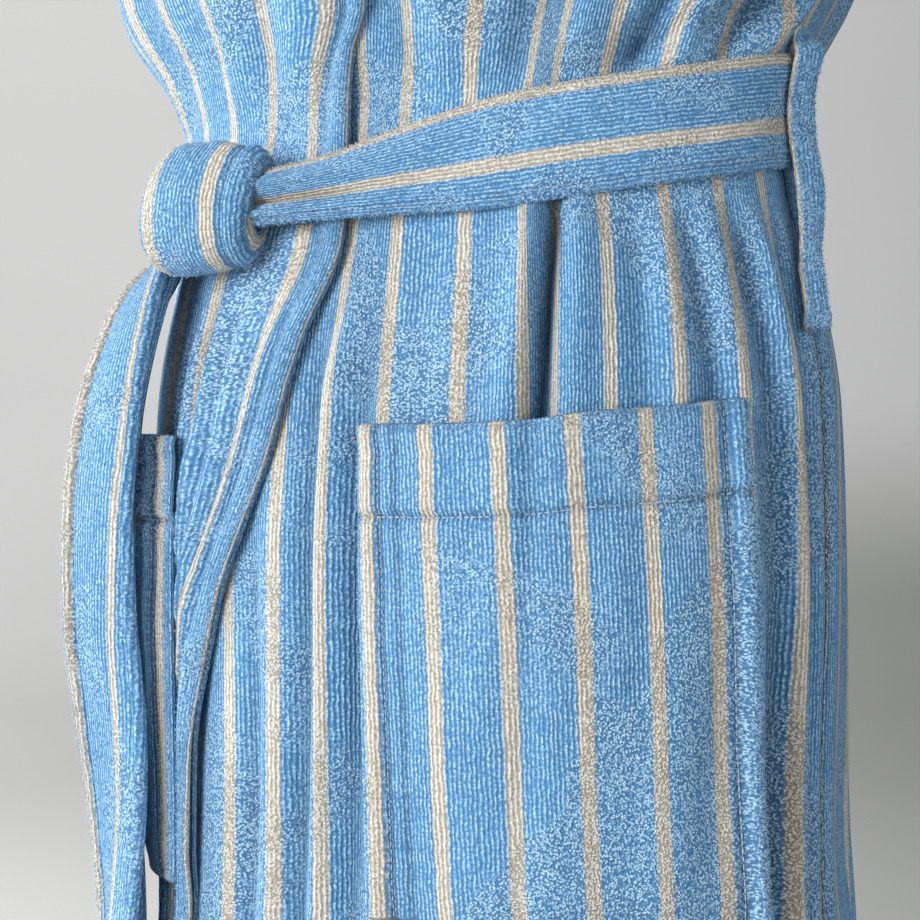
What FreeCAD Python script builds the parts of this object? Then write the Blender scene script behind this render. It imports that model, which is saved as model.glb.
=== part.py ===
"""Terry bathrobe in its worn shape: wrapped, belted and tied, with nobody in it.

Each sewn piece is a closed sheet solid of its own. The wearer faces -Y, the wearer's left
is +X and +Z is up. The origin is in the middle of the neck opening, level with the shoulder
seams, which is where a wearer or a clothes hanger carries the robe. Lengths are millimetres.

A place on the robe is given by a bearing, in degrees round the wearer from the front towards
the wearer's left, a height, and a lift, which is how far it stands out from the cloth's face.
"""
import FreeCAD
import Part
import math
import os

# ---- driving dimensions -------------------------------------------------------------------
CLOTH = 3.2                # thickness of one layer of terry
TAPE = 2.0                 # thickness of a facing or a seam tape
AIR = 0.6                  # clearance between layers that only lie on each other
HEM_Z = -1160.0            # the bottom edge
NECK_Z = -5.0              # the neck seam
BELT_WIDTH = 50.0
BELT_THICK = 6.0           # the belt is a flat tube of two layers
STRAP_WIDTH = 13.0         # belt loops
POCKET_TOP = -562.0
POCKET_HEIGHT = 225.0
POCKET_MOUTH = 17.0        # how far a pocket's mouth stands open
ARM_X = 225.0              # the armhole seams lie in the planes x = +/- this
ARM_Z = -175.0             # the height of the armholes' centres
ARM_RY = 95.0
ARM_RZ = 115.0
SLEEVE_LENGTH = 430.0
SLEEVE_DROP = 10.0         # degrees that the sleeves slope below the horizontal
CUFF_LENGTH = 95.0
SEAM_LEFT = 88.0           # bearings of the side seams
SEAM_RIGHT = -97.0
SEAM_GAP = 0.14            # degrees between two pieces that are sewn edge to edge
KNOT_BEARING = -15.0
UNDER_LIFT = 0.0           # the outer face of the layer that lies nearest the wearer
OVER_LIFT = 7.0            # the outer face of the front that wraps over it

# Half width and half depth of the robe's outline at each height.
OUTLINE = [
    (-1160, 206, 166), (-1000, 204, 160), (-860, 202, 155), (-740, 200, 152), (-640, 203, 152),
    (-560, 200, 148), (-500, 190, 138), (-460, 179, 130), (-430, 174, 126), (-400, 180, 131),
    (-355, 203, 147), (-290, 225, 152), (-175, 225, 140), (-110, 225, 124), (-60, 225, 104),
    (-35, 166, 92), (-15, 112, 80), (-5, 88, 74),
]
# Bearing of each front edge at each height, from the hem to the neck.
EDGE_OVER = [
    (-1160, -33), (-900, -24), (-794, -20), (-732, -19), (-662, -14), (-585, -3), (-529, 2),
    (-484, 7), (-430, 6), (-404, 8), (-382, 12), (-340, 15), (-300, 10), (-250, 0),
    (-175, -9), (-110, -15), (-60, -25), (-35, -36), (-15, -56), (-5, -86),
]
EDGE_UNDER = [
    (-1160, -52), (-430, -50), (-400, -46), (-330, -28), (-290, -13), (-250, 1), (-175, 9),
    (-110, 15), (-60, 25), (-35, 36), (-15, 56), (-5, 86),
]
# Height of the belt's middle at each bearing: it hangs lowest at the knot.
BELT_LINE = [
    (-112, -432), (-67, -452), (-22, -468), (6, -460), (34, -448), (65, -436), (87, -428),
    (180, -414), (248, -432),
]


# How far the cloth falls in behind the left hip, at each height.
HOLLOW = [(-1160, 12), (-900, 17), (-740, 22), (-620, 24), (-430, 22), (-350, 20), (-300, 0)]
KNOT_TURN = 24.0           # degrees that the knot's wrap is turned from the belt's line


# ---- small tools --------------------------------------------------------------------------
def ease(x, low, high):
    """0 below low, 1 above high, and a smooth step between them."""
    s = min(1.0, max(0.0, (x - low) / (high - low)))
    return s * s * (3 - 2 * s)


def between(stations, x, column=1):
    """A smooth curve through the stations' values that makes no overshoot."""
    if x <= stations[0][0]:
        return stations[0][column]
    if x >= stations[-1][0]:
        return stations[-1][column]
    steps = [
        (b[column] - a[column]) / (b[0] - a[0]) for a, b in zip(stations, stations[1:])
    ]

    def slope(i):
        if i in (0, len(steps)) or steps[i - 1] * steps[i] <= 0:
            return 0.0
        return 2 * steps[i - 1] * steps[i] / (steps[i - 1] + steps[i])

    i = max(k for k, s in enumerate(stations[:-1]) if s[0] <= x)
    x0, x1 = stations[i][0], stations[i + 1][0]
    h, s = x1 - x0, (x - x0) / (x1 - x0)
    return (
        stations[i][column] * (1 + 2 * s) * (1 - s) ** 2
        + stations[i + 1][column] * s * s * (3 - 2 * s)
        + h * slope(i) * s * (1 - s) ** 2
        - h * slope(i + 1) * s * s * (1 - s)
    )


def outline(z):
    """Half width and half depth at a height. Beside the armholes the width is what brings the
    surface to the armhole's oval in the plane of the seam."""
    half_width, half_depth = between(OUTLINE, z), between(OUTLINE, z, 2)
    across = 1 - ((z - ARM_Z) / ARM_RZ) ** 2
    if across > 0:
        half_width = ARM_X / math.sqrt(1 - (ARM_RY / half_depth) ** 2 * across)
    return half_width, half_depth


def place(bearing, z, lift=0.0):
    """The point at a bearing and height, lifted off the outline's face. The face looks more and
    more upwards over the shoulders."""
    half_width, half_depth = outline(z)
    lift -= between(HOLLOW, z) * math.exp(-(((bearing - 118) / 28) ** 2))
    t = math.radians(bearing)
    nx, ny = math.sin(t) / half_width, -math.cos(t) / half_depth
    n = math.hypot(nx, ny)
    up = math.radians(65.0 * ease(z, -75, -25))
    return FreeCAD.Vector(
        half_width * math.sin(t) + lift * math.cos(up) * nx / n,
        -half_depth * math.cos(t) + lift * math.cos(up) * ny / n,
        z + lift * math.sin(up),
    )


def arm_bearing(z):
    """The bearing where the outline meets the armhole's plane, 90 above and below it."""
    half_width = outline(z)[0]
    return math.degrees(math.asin(min(1.0, ARM_X / half_width)))


def side(z, seam):
    """The bearing of a front's sewn side: side seam, then armhole, then shoulder seam."""
    low = abs(seam) + (90 - abs(seam)) * ease(z, -400, -300)
    return math.copysign(min(low, arm_bearing(z)) - SEAM_GAP, seam)


def flat(bearing, z):
    """The outer face of the pieces that lie nearest the wearer."""
    return UNDER_LIFT


def over_lift(bearing, z):
    """The outer face of the wrapping front: clear of the under layer, down to its sewn side."""
    from_seam = bearing - side(z, SEAM_RIGHT)
    return OVER_LIFT * ease(from_seam, 2, 24) * (1 - ease(z, -240, -120))


def share(count, low=0.0, high=1.0):
    return [low + (high - low) * i / (count - 1) for i in range(count)]


def rows(low, high):
    """Heights from low to high, closer together beside the armholes and over the shoulders."""
    heights = [low]
    while heights[-1] < high - 0.1:
        heights.append(min(high, heights[-1] + (20 if heights[-1] < -330 else 7)))
    return heights


def spline_face(grid):
    """A smooth surface drawn by its grid of control points, which it never overshoots. A grid
    of two rows is ruled straight from one row to the other."""
    def knots(count, degree):
        inner = count - degree
        return list(range(inner + 1)), [degree + 1] + [1] * (inner - 1) + [degree + 1]

    degree_u = min(3, len(grid) - 1)
    ku, mu = knots(len(grid), degree_u)
    kv, mv = knots(len(grid[0]), 3)
    surface = Part.BSplineSurface()
    surface.buildFromPolesMultsKnots(grid, mu, mv, ku, kv, False, False, degree_u, 3)
    return surface.toShape()


def closed_sheet(outer, inner):
    """A closed solid between the surfaces of two grids."""
    faces = [spline_face(outer), spline_face(inner)]
    for end in (0, -1):
        faces.append(spline_face([outer[end], inner[end]]))
        faces.append(spline_face([[row[end] for row in outer], [row[end] for row in inner]]))
    shell = Part.makeShell(faces)
    shell.sewShape()
    solid = Part.makeSolid(shell)
    if solid.Volume < 0:
        solid.reverse()
    return solid


def sheet_solid(point, us, vs, thickness=CLOTH):
    """A closed solid between point(u, v, 0) and point(u, v, -thickness)."""
    outer, inner = (
        [[point(u, v, depth) for v in vs] for u in us] for depth in (0.0, -thickness)
    )
    return closed_sheet(outer, inner)


def rolled_solid(point, us, vs, thickness=CLOTH):
    """A closed solid half a thickness to either side of point(u, v), along its own normal."""
    def normal(u, v):
        du = point(min(u + 0.01, us[-1]), v) - point(max(u - 0.01, us[0]), v)
        dv = point(u, min(v + 0.01, vs[-1])) - point(u, max(v - 0.01, vs[0]))
        n = du.cross(dv)
        n.normalize()
        return n

    outer, inner = (
        [[point(u, v) + normal(u, v) * half for v in vs] for u in us]
        for half in (thickness / 2, -thickness / 2)
    )
    return closed_sheet(outer, inner)


def tube_solid(rings_out, rings_in):
    """A closed tube between two lofts through rings of points."""
    lofts = []
    for rings in (rings_out, rings_in):
        wires = []
        for ring in rings:
            curve = Part.BSplineCurve()
            curve.interpolate(ring, PeriodicFlag=True)
            wires.append(Part.Wire(curve.toShape()))
        lofts.append(Part.makeLoft(wires, True, False))
    return lofts[0].cut(lofts[1])


def save(name, shape):
    solids = shape.Solids
    assert solids and all(s.isValid() and s.Volume > 0 for s in solids), name
    (solids[0] if len(solids) == 1 else Part.makeCompound(solids)).exportStep(f"parts/{name}.step")


# ---- panels -------------------------------------------------------------------------------
def back_panel():
    def point(s, z, depth):
        beside_arm = 180 - arm_bearing(z) + SEAM_GAP
        left = max(side(z, SEAM_LEFT) + 2 * SEAM_GAP, beside_arm)
        right = max(-side(z, SEAM_RIGHT) + 2 * SEAM_GAP, beside_arm)
        return place(left + (360 - right - left) * s, z, depth)

    return sheet_solid(point, share(41), rows(HEM_Z, NECK_Z))


def front_panel(edge, seam, lift):
    """A front from its free edge to its side seam, armhole and shoulder seam."""
    def point(s, z, depth):
        free, sewn = between(edge, z), side(z, seam)
        bearing = free + (sewn - free) * s
        return place(bearing, z, lift(bearing, z) + depth)

    return sheet_solid(point, share(33), rows(HEM_Z, NECK_Z))


def front_facing(edge, lift, width):
    """The turned-in strip behind a front edge, from the hem to the V of the neck."""
    inwards = 1 if edge is EDGE_UNDER else -1

    def point(s, z, depth):
        turn = inwards * math.degrees(width / outline(z)[1])
        bearing = between(edge, z) + turn * (0.04 + 0.96 * s)
        return place(bearing, z, lift(bearing, z) - CLOTH - AIR + depth)

    return sheet_solid(point, share(7), rows(HEM_Z, -340), TAPE)


def seam_tape(bearing, low, high, width):
    """A strip inside a seam that runs up the robe."""
    def point(s, z, depth):
        turn = math.degrees(width / outline(z)[1])
        return place(bearing + turn * (s - 0.5), z, -CLOTH - AIR + depth)

    return sheet_solid(point, share(5), rows(low, high), TAPE)


# ---- collar -------------------------------------------------------------------------------
def collar(edge, outwards, low, lift):
    """Half of the shawl collar, from the V of the neck to the middle of the back. It lies flat
    on the chest, and behind the neck it stands up, rolls over and falls back on the robe."""
    up = FreeCAD.Vector(0, 0, 1)
    clear = 2 * AIR + CLOTH / 2
    stand_height, roll = 24.0, 7.0

    def section(base, foot, out, across):
        """Up from the neck seam, over a half round and straight down to the foot."""
        if across <= 0.25:
            return base + up * (stand_height * across / 0.25)
        turn = math.pi * min(1.0, (across - 0.25) / 0.25)
        top = base + up * (stand_height + roll * math.sin(turn)) + out * (roll * (1 - math.cos(turn)))
        return top + (foot - top) * max(0.0, (across - 0.5) / 0.5)

    def point(along, across):
        rise = min(1.0, along / 0.64)
        behind = max(0.0, (along - 0.64) / 0.36)
        z = low + (NECK_Z - low) * rise
        bearing = between(edge, z) + outwards * (94 - SEAM_GAP) * behind
        width = 12 + 76 * ease(rise, 0.0, 0.55)
        stand = ease(rise, 0.72, 1.0)

        def lying(part):
            reach = outwards * math.degrees(width * part / outline(z)[0]) * (1 - stand)
            fall = (18 + 9 * stand + 43 * ease(behind, 0.1, 0.9)) * part
            swell = 5 * math.sin(math.pi * part)
            return place(bearing + reach, z - fall, lift(bearing + reach, z - fall) + clear + swell)

        base = place(bearing, z, lift(bearing, z) + clear) + up
        out = FreeCAD.Vector(base.x, base.y, 0)
        out.normalize()
        standing = section(base, lying(1.0), out, across)
        return lying(across) * (1 - stand) + standing * stand

    return rolled_solid(point, share(49), share(21))


# ---- pockets ------------------------------------------------------------------------------
def pocket(first, last, top, lift, mouth=POCKET_MOUTH):
    """A patch sewn down along its sides and bottom, with its mouth standing open."""
    def point(s, v, depth):
        bearing = first + (last - first) * s
        z = top - POCKET_HEIGHT * (1 - v)
        bulge = math.sin(math.pi * s) ** 0.8 * (0.35 + 0.65 * v) * min(1.0, v * 4)
        return place(bearing, z, lift(bearing, z) + AIR + CLOTH + mouth * bulge + depth)

    return sheet_solid(point, share(17), share(13))


# ---- belt ---------------------------------------------------------------------------------
def belt_z(bearing):
    return between(BELT_LINE, bearing)


def belt_lift(bearing):
    """The belt's inner face: on the wrapping front, and down on the other layer beyond it."""
    return 2 * AIR + 0.5 + (OVER_LIFT + 0.4) * ease(bearing, -98, -79) * (1 - ease(bearing, 9, 26))


def belt_band():
    """The stretch round the waist, from one side of the knot to the other."""
    def point(s, v, depth):
        bearing = KNOT_BEARING + 11.5 + (360 - 23.0) * s
        folded = bearing if bearing < 248 else bearing - 360
        half = BELT_WIDTH / 2 * (0.62 + 0.38 * ease(min(s, 1 - s), 0.0, 0.09))
        lift = belt_lift(bearing if bearing < 180 else bearing - 360)
        return place(bearing, belt_z(folded) + half * v, lift + BELT_THICK + depth)

    return sheet_solid(point, share(73), share(7, -1, 1), BELT_THICK)


def knot():
    """The wrap of the knot: a barrel across the belt."""
    middle = place(KNOT_BEARING, belt_z(KNOT_BEARING), OVER_LIFT + 26)
    along = place(KNOT_BEARING + 1, belt_z(KNOT_BEARING)) - place(KNOT_BEARING - 1, belt_z(KNOT_BEARING))
    along.normalize()
    along = FreeCAD.Rotation(FreeCAD.Vector(0, 0, 1), KNOT_TURN).multVec(along)
    out = along.cross(FreeCAD.Vector(0, 0, 1))
    up = FreeCAD.Vector(0, 0, 1)
    wires = []
    for shift, grow in ((-27, 0.80), (-18, 0.96), (0, 1.0), (18, 0.96), (27, 0.80)):
        ring = [
            middle + along * shift
            + out * (18.5 * grow * math.cos(a)) + up * (30 * grow * math.sin(a))
            for a in (2 * math.pi * i / 16 for i in range(16))
        ]
        curve = Part.BSplineCurve()
        curve.interpolate(ring, PeriodicFlag=True)
        wires.append(Part.Wire(curve.toShape()))
    return Part.makeLoft(wires, True, False)


def tail(route, turns, width=BELT_WIDTH):
    """A loose end of the belt, hanging from the knot. Each point of the route has the bearing
    that the strip's face looks towards."""
    count = len(route)

    def point(v, s, depth):
        x = [between([(i / (count - 1), p[k]) for i, p in enumerate(route)], s) for k in range(3)]
        face = math.radians(between([(i / (count - 1), t) for i, t in enumerate(turns)], s))
        out = FreeCAD.Vector(math.sin(face), -math.cos(face), 0)
        across = FreeCAD.Vector(math.cos(face), math.sin(face), 0)
        return FreeCAD.Vector(*x) + across * (width / 2 * v) + out * depth

    return sheet_solid(point, share(5, -1, 1), share(41), BELT_THICK)


FRONT_TAIL = [
    (-101, -154, -502), (-107, -160, -530), (-112, -166, -570), (-114, -169, -614),
    (-113, -168, -662), (-110, -164, -710), (-110, -161, -758), (-109, -160, -806),
    (-108, -161, -915),
]
FRONT_TURNS = [-26, -10, 0, 0, 2, -3, -14, -24, -26]
BACK_TAIL = [
    (-108, -134, -504), (-118, -139, -530), (-128, -144, -570), (-134, -146, -614),
    (-134, -146, -662), (-132, -144, -710), (-134, -139, -758), (-140, -131, -806),
    (-147, -126, -870),
]
BACK_TURNS = [-34, -32, -28, -25, -25, -27, -30, -34, -36]


def belt_loop(bearing):
    """A narrow strap sewn on the side seam above and below the belt, with its end hanging on."""
    middle = belt_z(bearing)
    turn = math.degrees(STRAP_WIDTH / 2 / outline(middle)[1])

    def point(s, v, depth):
        up = 40 - 142 * v
        arch = BELT_THICK + 2.5
        lift = AIR + arch * ease(44 - abs(up), 4, 15)
        return place(bearing + turn * s, middle + up, lift + CLOTH + depth)

    return sheet_solid(point, share(5, -1, 1), share(37))


def hanging_loop():
    """A narrow strap, both ends sewn in the neck seam, hanging down inside the back."""
    half, drop, strap, thick = 30.0, 40.0, 10.0, 2.4
    y = outline(NECK_Z)[1] - CLOTH - TAPE - 2 * AIR - 4.5

    def arch(reach):
        points = [FreeCAD.Vector(-half + strap / 2 - reach, y, -8)]
        for i in range(9):
            a = math.pi * (1 + i / 8)
            points.append(FreeCAD.Vector(
                (half - strap / 2 + reach) * math.cos(a), y, -24 + (drop - 16 - strap + reach) * math.sin(a)))
        points.append(FreeCAD.Vector(half - strap / 2 + reach, y, -8))
        return points

    outer, inner = arch(strap), arch(0.0)
    wire = []
    for points in (outer, inner):
        curve = Part.BSplineCurve()
        curve.interpolate(points[1:-1])
        wire += [
            Part.makeLine(points[0], points[1]), curve.toShape(), Part.makeLine(points[-2], points[-1])
        ]
    wire += [Part.makeLine(outer[0], inner[0]), Part.makeLine(outer[-1], inner[-1])]
    face = Part.Face(Part.Wire(Part.__sortEdges__(wire)))
    return face.extrude(FreeCAD.Vector(0, -thick, 0))


def neck_tape():
    """The strip that covers the back of the neck seam."""
    def point(s, z, depth):
        return place(112 + 136 * s, z, -CLOTH - AIR + depth)

    return sheet_solid(point, share(17), [-19, -14, -9, -5.5], TAPE)


# ---- sleeves ------------------------------------------------------------------------------
def sleeve_ring(hand, along, lift, count=20):
    """One ring of a sleeve: at 0 it is the armhole's oval, and it turns square to the sleeve."""
    slope = math.radians(SLEEVE_DROP)
    tilt = slope * ease(along, 0.0, 190.0)
    radius_y = 66 + (ARM_RY - 66) * (1 - ease(along, 0, 300))
    radius_z = 80 + (ARM_RZ - 80) * (1 - ease(along, 0, 270))
    cx = ARM_X + 1.0 + along * math.cos(slope)
    cz = ARM_Z - along * math.sin(slope)
    ring = []
    for i in range(count):
        a = 2 * math.pi * i / count
        y, w = (radius_y + lift) * math.cos(a), (radius_z + lift) * math.sin(a)
        ring.append(FreeCAD.Vector(hand * (cx + w * math.sin(tilt)), y, cz + w * math.cos(tilt)))
    return ring


def sleeve(hand):
    places = [0, 60, 130, 210, 300, 370, SLEEVE_LENGTH]
    return tube_solid(
        [sleeve_ring(hand, p, 0) for p in places], [sleeve_ring(hand, p, -CLOTH) for p in places]
    )


def cuff(hand):
    places = [SLEEVE_LENGTH - CUFF_LENGTH, SLEEVE_LENGTH - CUFF_LENGTH / 2, SLEEVE_LENGTH + 2]
    return tube_solid(
        [sleeve_ring(hand, p, AIR + 2 * CLOTH) for p in places],
        [sleeve_ring(hand, p, AIR) for p in places],
    )


# ---- the robe -----------------------------------------------------------------------------
def build():
    os.makedirs("parts", exist_ok=True)
    save("back_panel", back_panel())
    save("front_panel_left", front_panel(EDGE_UNDER, SEAM_LEFT, flat))
    save("front_panel_right", front_panel(EDGE_OVER, SEAM_RIGHT, over_lift))
    save("front_facing_left", front_facing(EDGE_UNDER, flat, 38))
    save("front_facing_right", front_facing(EDGE_OVER, over_lift, 30))
    save("collar_left", collar(EDGE_UNDER, 1, -238, flat))
    save("collar_right", collar(EDGE_OVER, -1, -318, over_lift))
    save("neck_tape", neck_tape())
    save("side_seam_tape_left", seam_tape(SEAM_LEFT, HEM_Z, -400, 11))
    save("side_seam_tape_right", seam_tape(SEAM_RIGHT, HEM_Z, -400, 11))
    save("pocket_left", pocket(12, 69, POCKET_TOP, flat))
    save("pocket_right", pocket(-78, -22, POCKET_TOP - 10, over_lift, 10.0))
    save("belt_band", belt_band())
    save("belt_knot", knot())
    save("belt_tail_front", tail(FRONT_TAIL, FRONT_TURNS))
    save("belt_tail_back", tail(BACK_TAIL, BACK_TURNS))
    save("belt_loop_left", belt_loop(SEAM_LEFT - 1))
    save("belt_loop_right", belt_loop(SEAM_RIGHT - 3))
    save("hanging_loop", hanging_loop())
    for name, hand in (("left", 1), ("right", -1)):
        save(f"sleeve_{name}", sleeve(hand))
        save(f"cuff_{name}", cuff(hand))


build()
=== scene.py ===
"""Looks of the terry bathrobe: striped cloth in its worn shape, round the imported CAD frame.

Lengths are metres unless a name ends in MM. A place on the robe is a bearing, in degrees from
the front towards the wearer's left, and a height in millimetres, as in the CAD source.
"""
import bpy
import math
import numpy as np
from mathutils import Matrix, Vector


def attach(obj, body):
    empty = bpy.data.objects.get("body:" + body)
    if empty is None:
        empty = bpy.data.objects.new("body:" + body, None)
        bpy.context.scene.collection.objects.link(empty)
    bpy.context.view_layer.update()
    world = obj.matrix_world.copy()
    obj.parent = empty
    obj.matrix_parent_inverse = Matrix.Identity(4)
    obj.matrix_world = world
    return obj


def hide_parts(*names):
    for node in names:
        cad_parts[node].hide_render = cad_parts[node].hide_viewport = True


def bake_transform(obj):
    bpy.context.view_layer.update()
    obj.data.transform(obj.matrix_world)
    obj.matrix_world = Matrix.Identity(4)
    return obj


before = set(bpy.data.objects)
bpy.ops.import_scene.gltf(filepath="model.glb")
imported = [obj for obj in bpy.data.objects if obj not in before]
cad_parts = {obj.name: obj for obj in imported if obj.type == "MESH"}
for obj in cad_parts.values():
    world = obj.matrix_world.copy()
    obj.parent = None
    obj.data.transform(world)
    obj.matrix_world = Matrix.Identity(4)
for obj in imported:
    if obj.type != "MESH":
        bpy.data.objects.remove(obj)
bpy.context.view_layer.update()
scene = bpy.context.scene
scene.view_settings.view_transform = "Standard"
scene.view_settings.look = "None"
scene.view_settings.exposure = -0.5

# ---- the robe's outline, as in the CAD source (millimetres) ---------------------------------
CLOTH = 3.2
AIR = 0.6
OVER_LIFT = 7.0
BELT_THICK = 6.0
BELT_WIDTH = 50.0
HEM_Z = -1160.0
NECK_Z = -5.0
ARM_X, ARM_Z, ARM_RY, ARM_RZ = 225.0, -175.0, 95.0, 115.0
SLEEVE_LENGTH, SLEEVE_DROP, CUFF_LENGTH = 430.0, 10.0, 95.0
SEAM_LEFT, SEAM_RIGHT, SEAM_GAP = 88.0, -97.0, 0.14
POCKET_TOP, POCKET_HEIGHT = -562.0, 225.0
KNOT_BEARING = -15.0
OUTLINE = [
    (-1160, 206, 166), (-1000, 204, 160), (-860, 202, 155), (-740, 200, 152), (-640, 203, 152),
    (-560, 200, 148), (-500, 190, 138), (-460, 179, 130), (-430, 174, 126), (-400, 180, 131),
    (-355, 203, 147), (-290, 225, 152), (-175, 225, 140), (-110, 225, 124), (-60, 225, 104),
    (-35, 166, 92), (-15, 112, 80), (-5, 88, 74),
]
EDGE_OVER = [
    (-1160, -33), (-900, -24), (-794, -20), (-732, -19), (-662, -14), (-585, -3), (-529, 2),
    (-484, 7), (-430, 6), (-404, 8), (-382, 12), (-340, 15), (-300, 10), (-250, 0),
    (-175, -9), (-110, -15), (-60, -25), (-35, -36), (-15, -56), (-5, -86),
]
EDGE_UNDER = [
    (-1160, -52), (-430, -50), (-400, -46), (-330, -28), (-290, -13), (-250, 1), (-175, 9),
    (-110, 15), (-60, 25), (-35, 36), (-15, 56), (-5, 86),
]
BELT_LINE = [
    (-112, -432), (-67, -452), (-22, -468), (6, -460), (34, -448), (65, -436), (87, -428),
    (180, -414), (248, -432),
]


# ---- small tools --------------------------------------------------------------------------
def ease(x, low, high):
    s = np.clip((np.asarray(x, float) - low) / (high - low), 0.0, 1.0)
    return s * s * (3 - 2 * s)


def curve(x, stations, column=1):
    """A smooth curve through the stations' values that makes no overshoot."""
    x = np.asarray(x, float)
    xs = np.array([s[0] for s in stations], float)
    ys = np.array([s[column] for s in stations], float)
    h = np.diff(xs)
    steps = np.diff(ys) / h
    slopes = np.zeros(len(xs))
    same = steps[:-1] * steps[1:] > 0
    total = np.where(same, steps[:-1] + steps[1:], 1.0)
    slopes[1:-1] = np.where(same, 2 * steps[:-1] * steps[1:] / total, 0.0)
    i = np.clip(np.searchsorted(xs, x, "right") - 1, 0, len(h) - 1)
    s = np.clip((x - xs[i]) / h[i], 0.0, 1.0)
    return (
        ys[i] * (1 + 2 * s) * (1 - s) ** 2 + ys[i + 1] * s * s * (3 - 2 * s)
        + h[i] * slopes[i] * s * (1 - s) ** 2 - h[i] * slopes[i + 1] * s * s * (1 - s)
    )


def ripple(x, y, seed):
    """Smooth noise from -1 to 1, one hump to a unit."""
    table = np.random.RandomState(seed).rand(64, 64) * 2 - 1
    x, y = np.broadcast_arrays(np.asarray(x, float), np.asarray(y, float))
    ix, iy = np.floor(x).astype(int), np.floor(y).astype(int)
    fx, fy = ease(x - ix, 0, 1), ease(y - iy, 0, 1)
    a, b = table[ix % 64, iy % 64], table[(ix + 1) % 64, iy % 64]
    c, d = table[ix % 64, (iy + 1) % 64], table[(ix + 1) % 64, (iy + 1) % 64]
    return (a * (1 - fx) + b * fx) * (1 - fy) + (c * (1 - fx) + d * fx) * fy


def bump(x, centre, width):
    return np.exp(-(((x - centre) / width) ** 2))


def outline(z):
    half_width, half_depth = curve(z, OUTLINE), curve(z, OUTLINE, 2)
    across = np.clip(1 - ((z - ARM_Z) / ARM_RZ) ** 2, 0, 1)
    beside_arm = ARM_X / np.sqrt(1 - np.minimum(0.95, (ARM_RY / half_depth) ** 2 * across))
    return np.where(across > 0, beside_arm, half_width), half_depth


# How far the cloth falls in behind the left hip, at each height.
HOLLOW = [(-1160, 12), (-900, 17), (-740, 22), (-620, 24), (-430, 22), (-350, 20), (-300, 0)]


def place(t, z, lift=0.0):
    """Points in metres at bearings, heights and lifts in millimetres."""
    t, z, lift = np.broadcast_arrays(*(np.asarray(v, float) for v in (t, z, lift)))
    lift = lift - curve(z, HOLLOW) * bump(t, 118, 28)
    half_width, half_depth = outline(z)
    r = np.radians(t)
    nx, ny = np.sin(r) / half_width, -np.cos(r) / half_depth
    n = np.hypot(nx, ny)
    up = np.radians(65.0 * ease(z, -75, -25))
    return np.stack([
        half_width * np.sin(r) + lift * np.cos(up) * nx / n,
        -half_depth * np.cos(r) + lift * np.cos(up) * ny / n,
        z + lift * np.sin(up),
    ], -1) / 1000


def arm_bearing(z):
    return np.degrees(np.arcsin(np.minimum(1.0, ARM_X / outline(z)[0])))


def side(z, seam):
    low = abs(seam) + (90 - abs(seam)) * ease(z, -400, -300)
    return math.copysign(1, seam) * (np.minimum(low, arm_bearing(z)) - SEAM_GAP)


def over_lift(t, z):
    from_seam = t - side(z, SEAM_RIGHT)
    return OVER_LIFT * ease(from_seam, 2, 24) * (1 - ease(z, -240, -120))


def belt_z(t):
    t = np.asarray(t, float)
    return curve(np.where(t < 248, t, t - 360), BELT_LINE)


def rows(low, high, step):
    return np.linspace(low, high, int(round((high - low) / step)) + 1)


# ---- camera -------------------------------------------------------------------------------
AZIMUTH = math.radians(42.0)
DISTANCE, AIM_Z, AIM_SIDE = 1.25, -0.585, -0.0225
right_way = Vector((math.cos(AZIMUTH), math.sin(AZIMUTH), 0))
towards = Vector((math.sin(AZIMUTH), -math.cos(AZIMUTH), 0))
camera = bpy.data.objects.new("camera", bpy.data.cameras.new("camera"))
scene.collection.objects.link(camera)
camera.data.lens, camera.data.sensor_width = 98.0, 36.0
camera.data.clip_end = 30.0
camera.location = right_way * AIM_SIDE + towards * DISTANCE + Vector((0, 0, AIM_Z))
camera.rotation_euler = (-towards).to_track_quat("-Z", "Y").to_euler()
scene.camera = camera


# ---- materials ----------------------------------------------------------------------------
class Nodes:
    """Short calls for building one material's nodes."""

    def __init__(self, name):
        self.material = bpy.data.materials.new(name)
        self.material.use_nodes = True
        self.tree = self.material.node_tree
        self.tree.nodes.clear()

    def add(self, kind, values=(), links=(), **settings):
        node = self.tree.nodes.new(kind)
        for key, value in settings.items():
            setattr(node, key, value)
        for key, value in dict(values).items():
            node.inputs[key].default_value = value
        for key, socket in dict(links).items():
            self.tree.links.new(socket, node.inputs[key])
        return node

    def math(self, operation, a, b=0.0, c=0.0, clamp=False):
        node = self.add("ShaderNodeMath", operation=operation, use_clamp=clamp)
        for slot, value in enumerate((a, b, c)):
            if isinstance(value, (int, float)):
                node.inputs[slot].default_value = value
            else:
                self.tree.links.new(value, node.inputs[slot])
        return node.outputs[0]

    def step(self, value, low, high):
        """0 below low, 1 above high, smooth between."""
        node = self.add("ShaderNodeMapRange", {1: low, 2: high}, {0: value},
                        interpolation_type="SMOOTHSTEP", clamp=True)
        return node.outputs[0]

    def mix(self, factor, a, b, blend="MIX"):
        node = self.add("ShaderNodeMix", data_type="RGBA", blend_type=blend)
        for slot, value in ((0, factor), (6, a), (7, b)):
            if isinstance(value, (int, float, tuple)):
                node.inputs[slot].default_value = value
            else:
                self.tree.links.new(value, node.inputs[slot])
        return node.outputs[2]


PITCH = 0.034              # from one stripe to the next
PITCH_MM = 34.0       # the same pitch in millimetres
MM_PER_DEGREE = 3.1   # round the body at a side seam
SLEEVE_RADIUS = 88    # millimetres, for the stripes round a sleeve
# BLUE_DEEP and BEIGE_DEEP are painted shade between the loops; BLUE_LIGHT and BEIGE_LIGHT are a
# painted highlight on the loop tips, and BLUE_LIGHT is also the paler standing pile
BLUE_DEEP = (0.055, 0.155, 0.30, 1)
BLUE_MID = (0.15, 0.35, 0.575, 1)
BLUE_LIGHT = (0.50, 0.71, 0.88, 1)
BEIGE_DEEP = (0.29, 0.255, 0.20, 1)
BEIGE_LIGHT = (0.66, 0.615, 0.54, 1)


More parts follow.
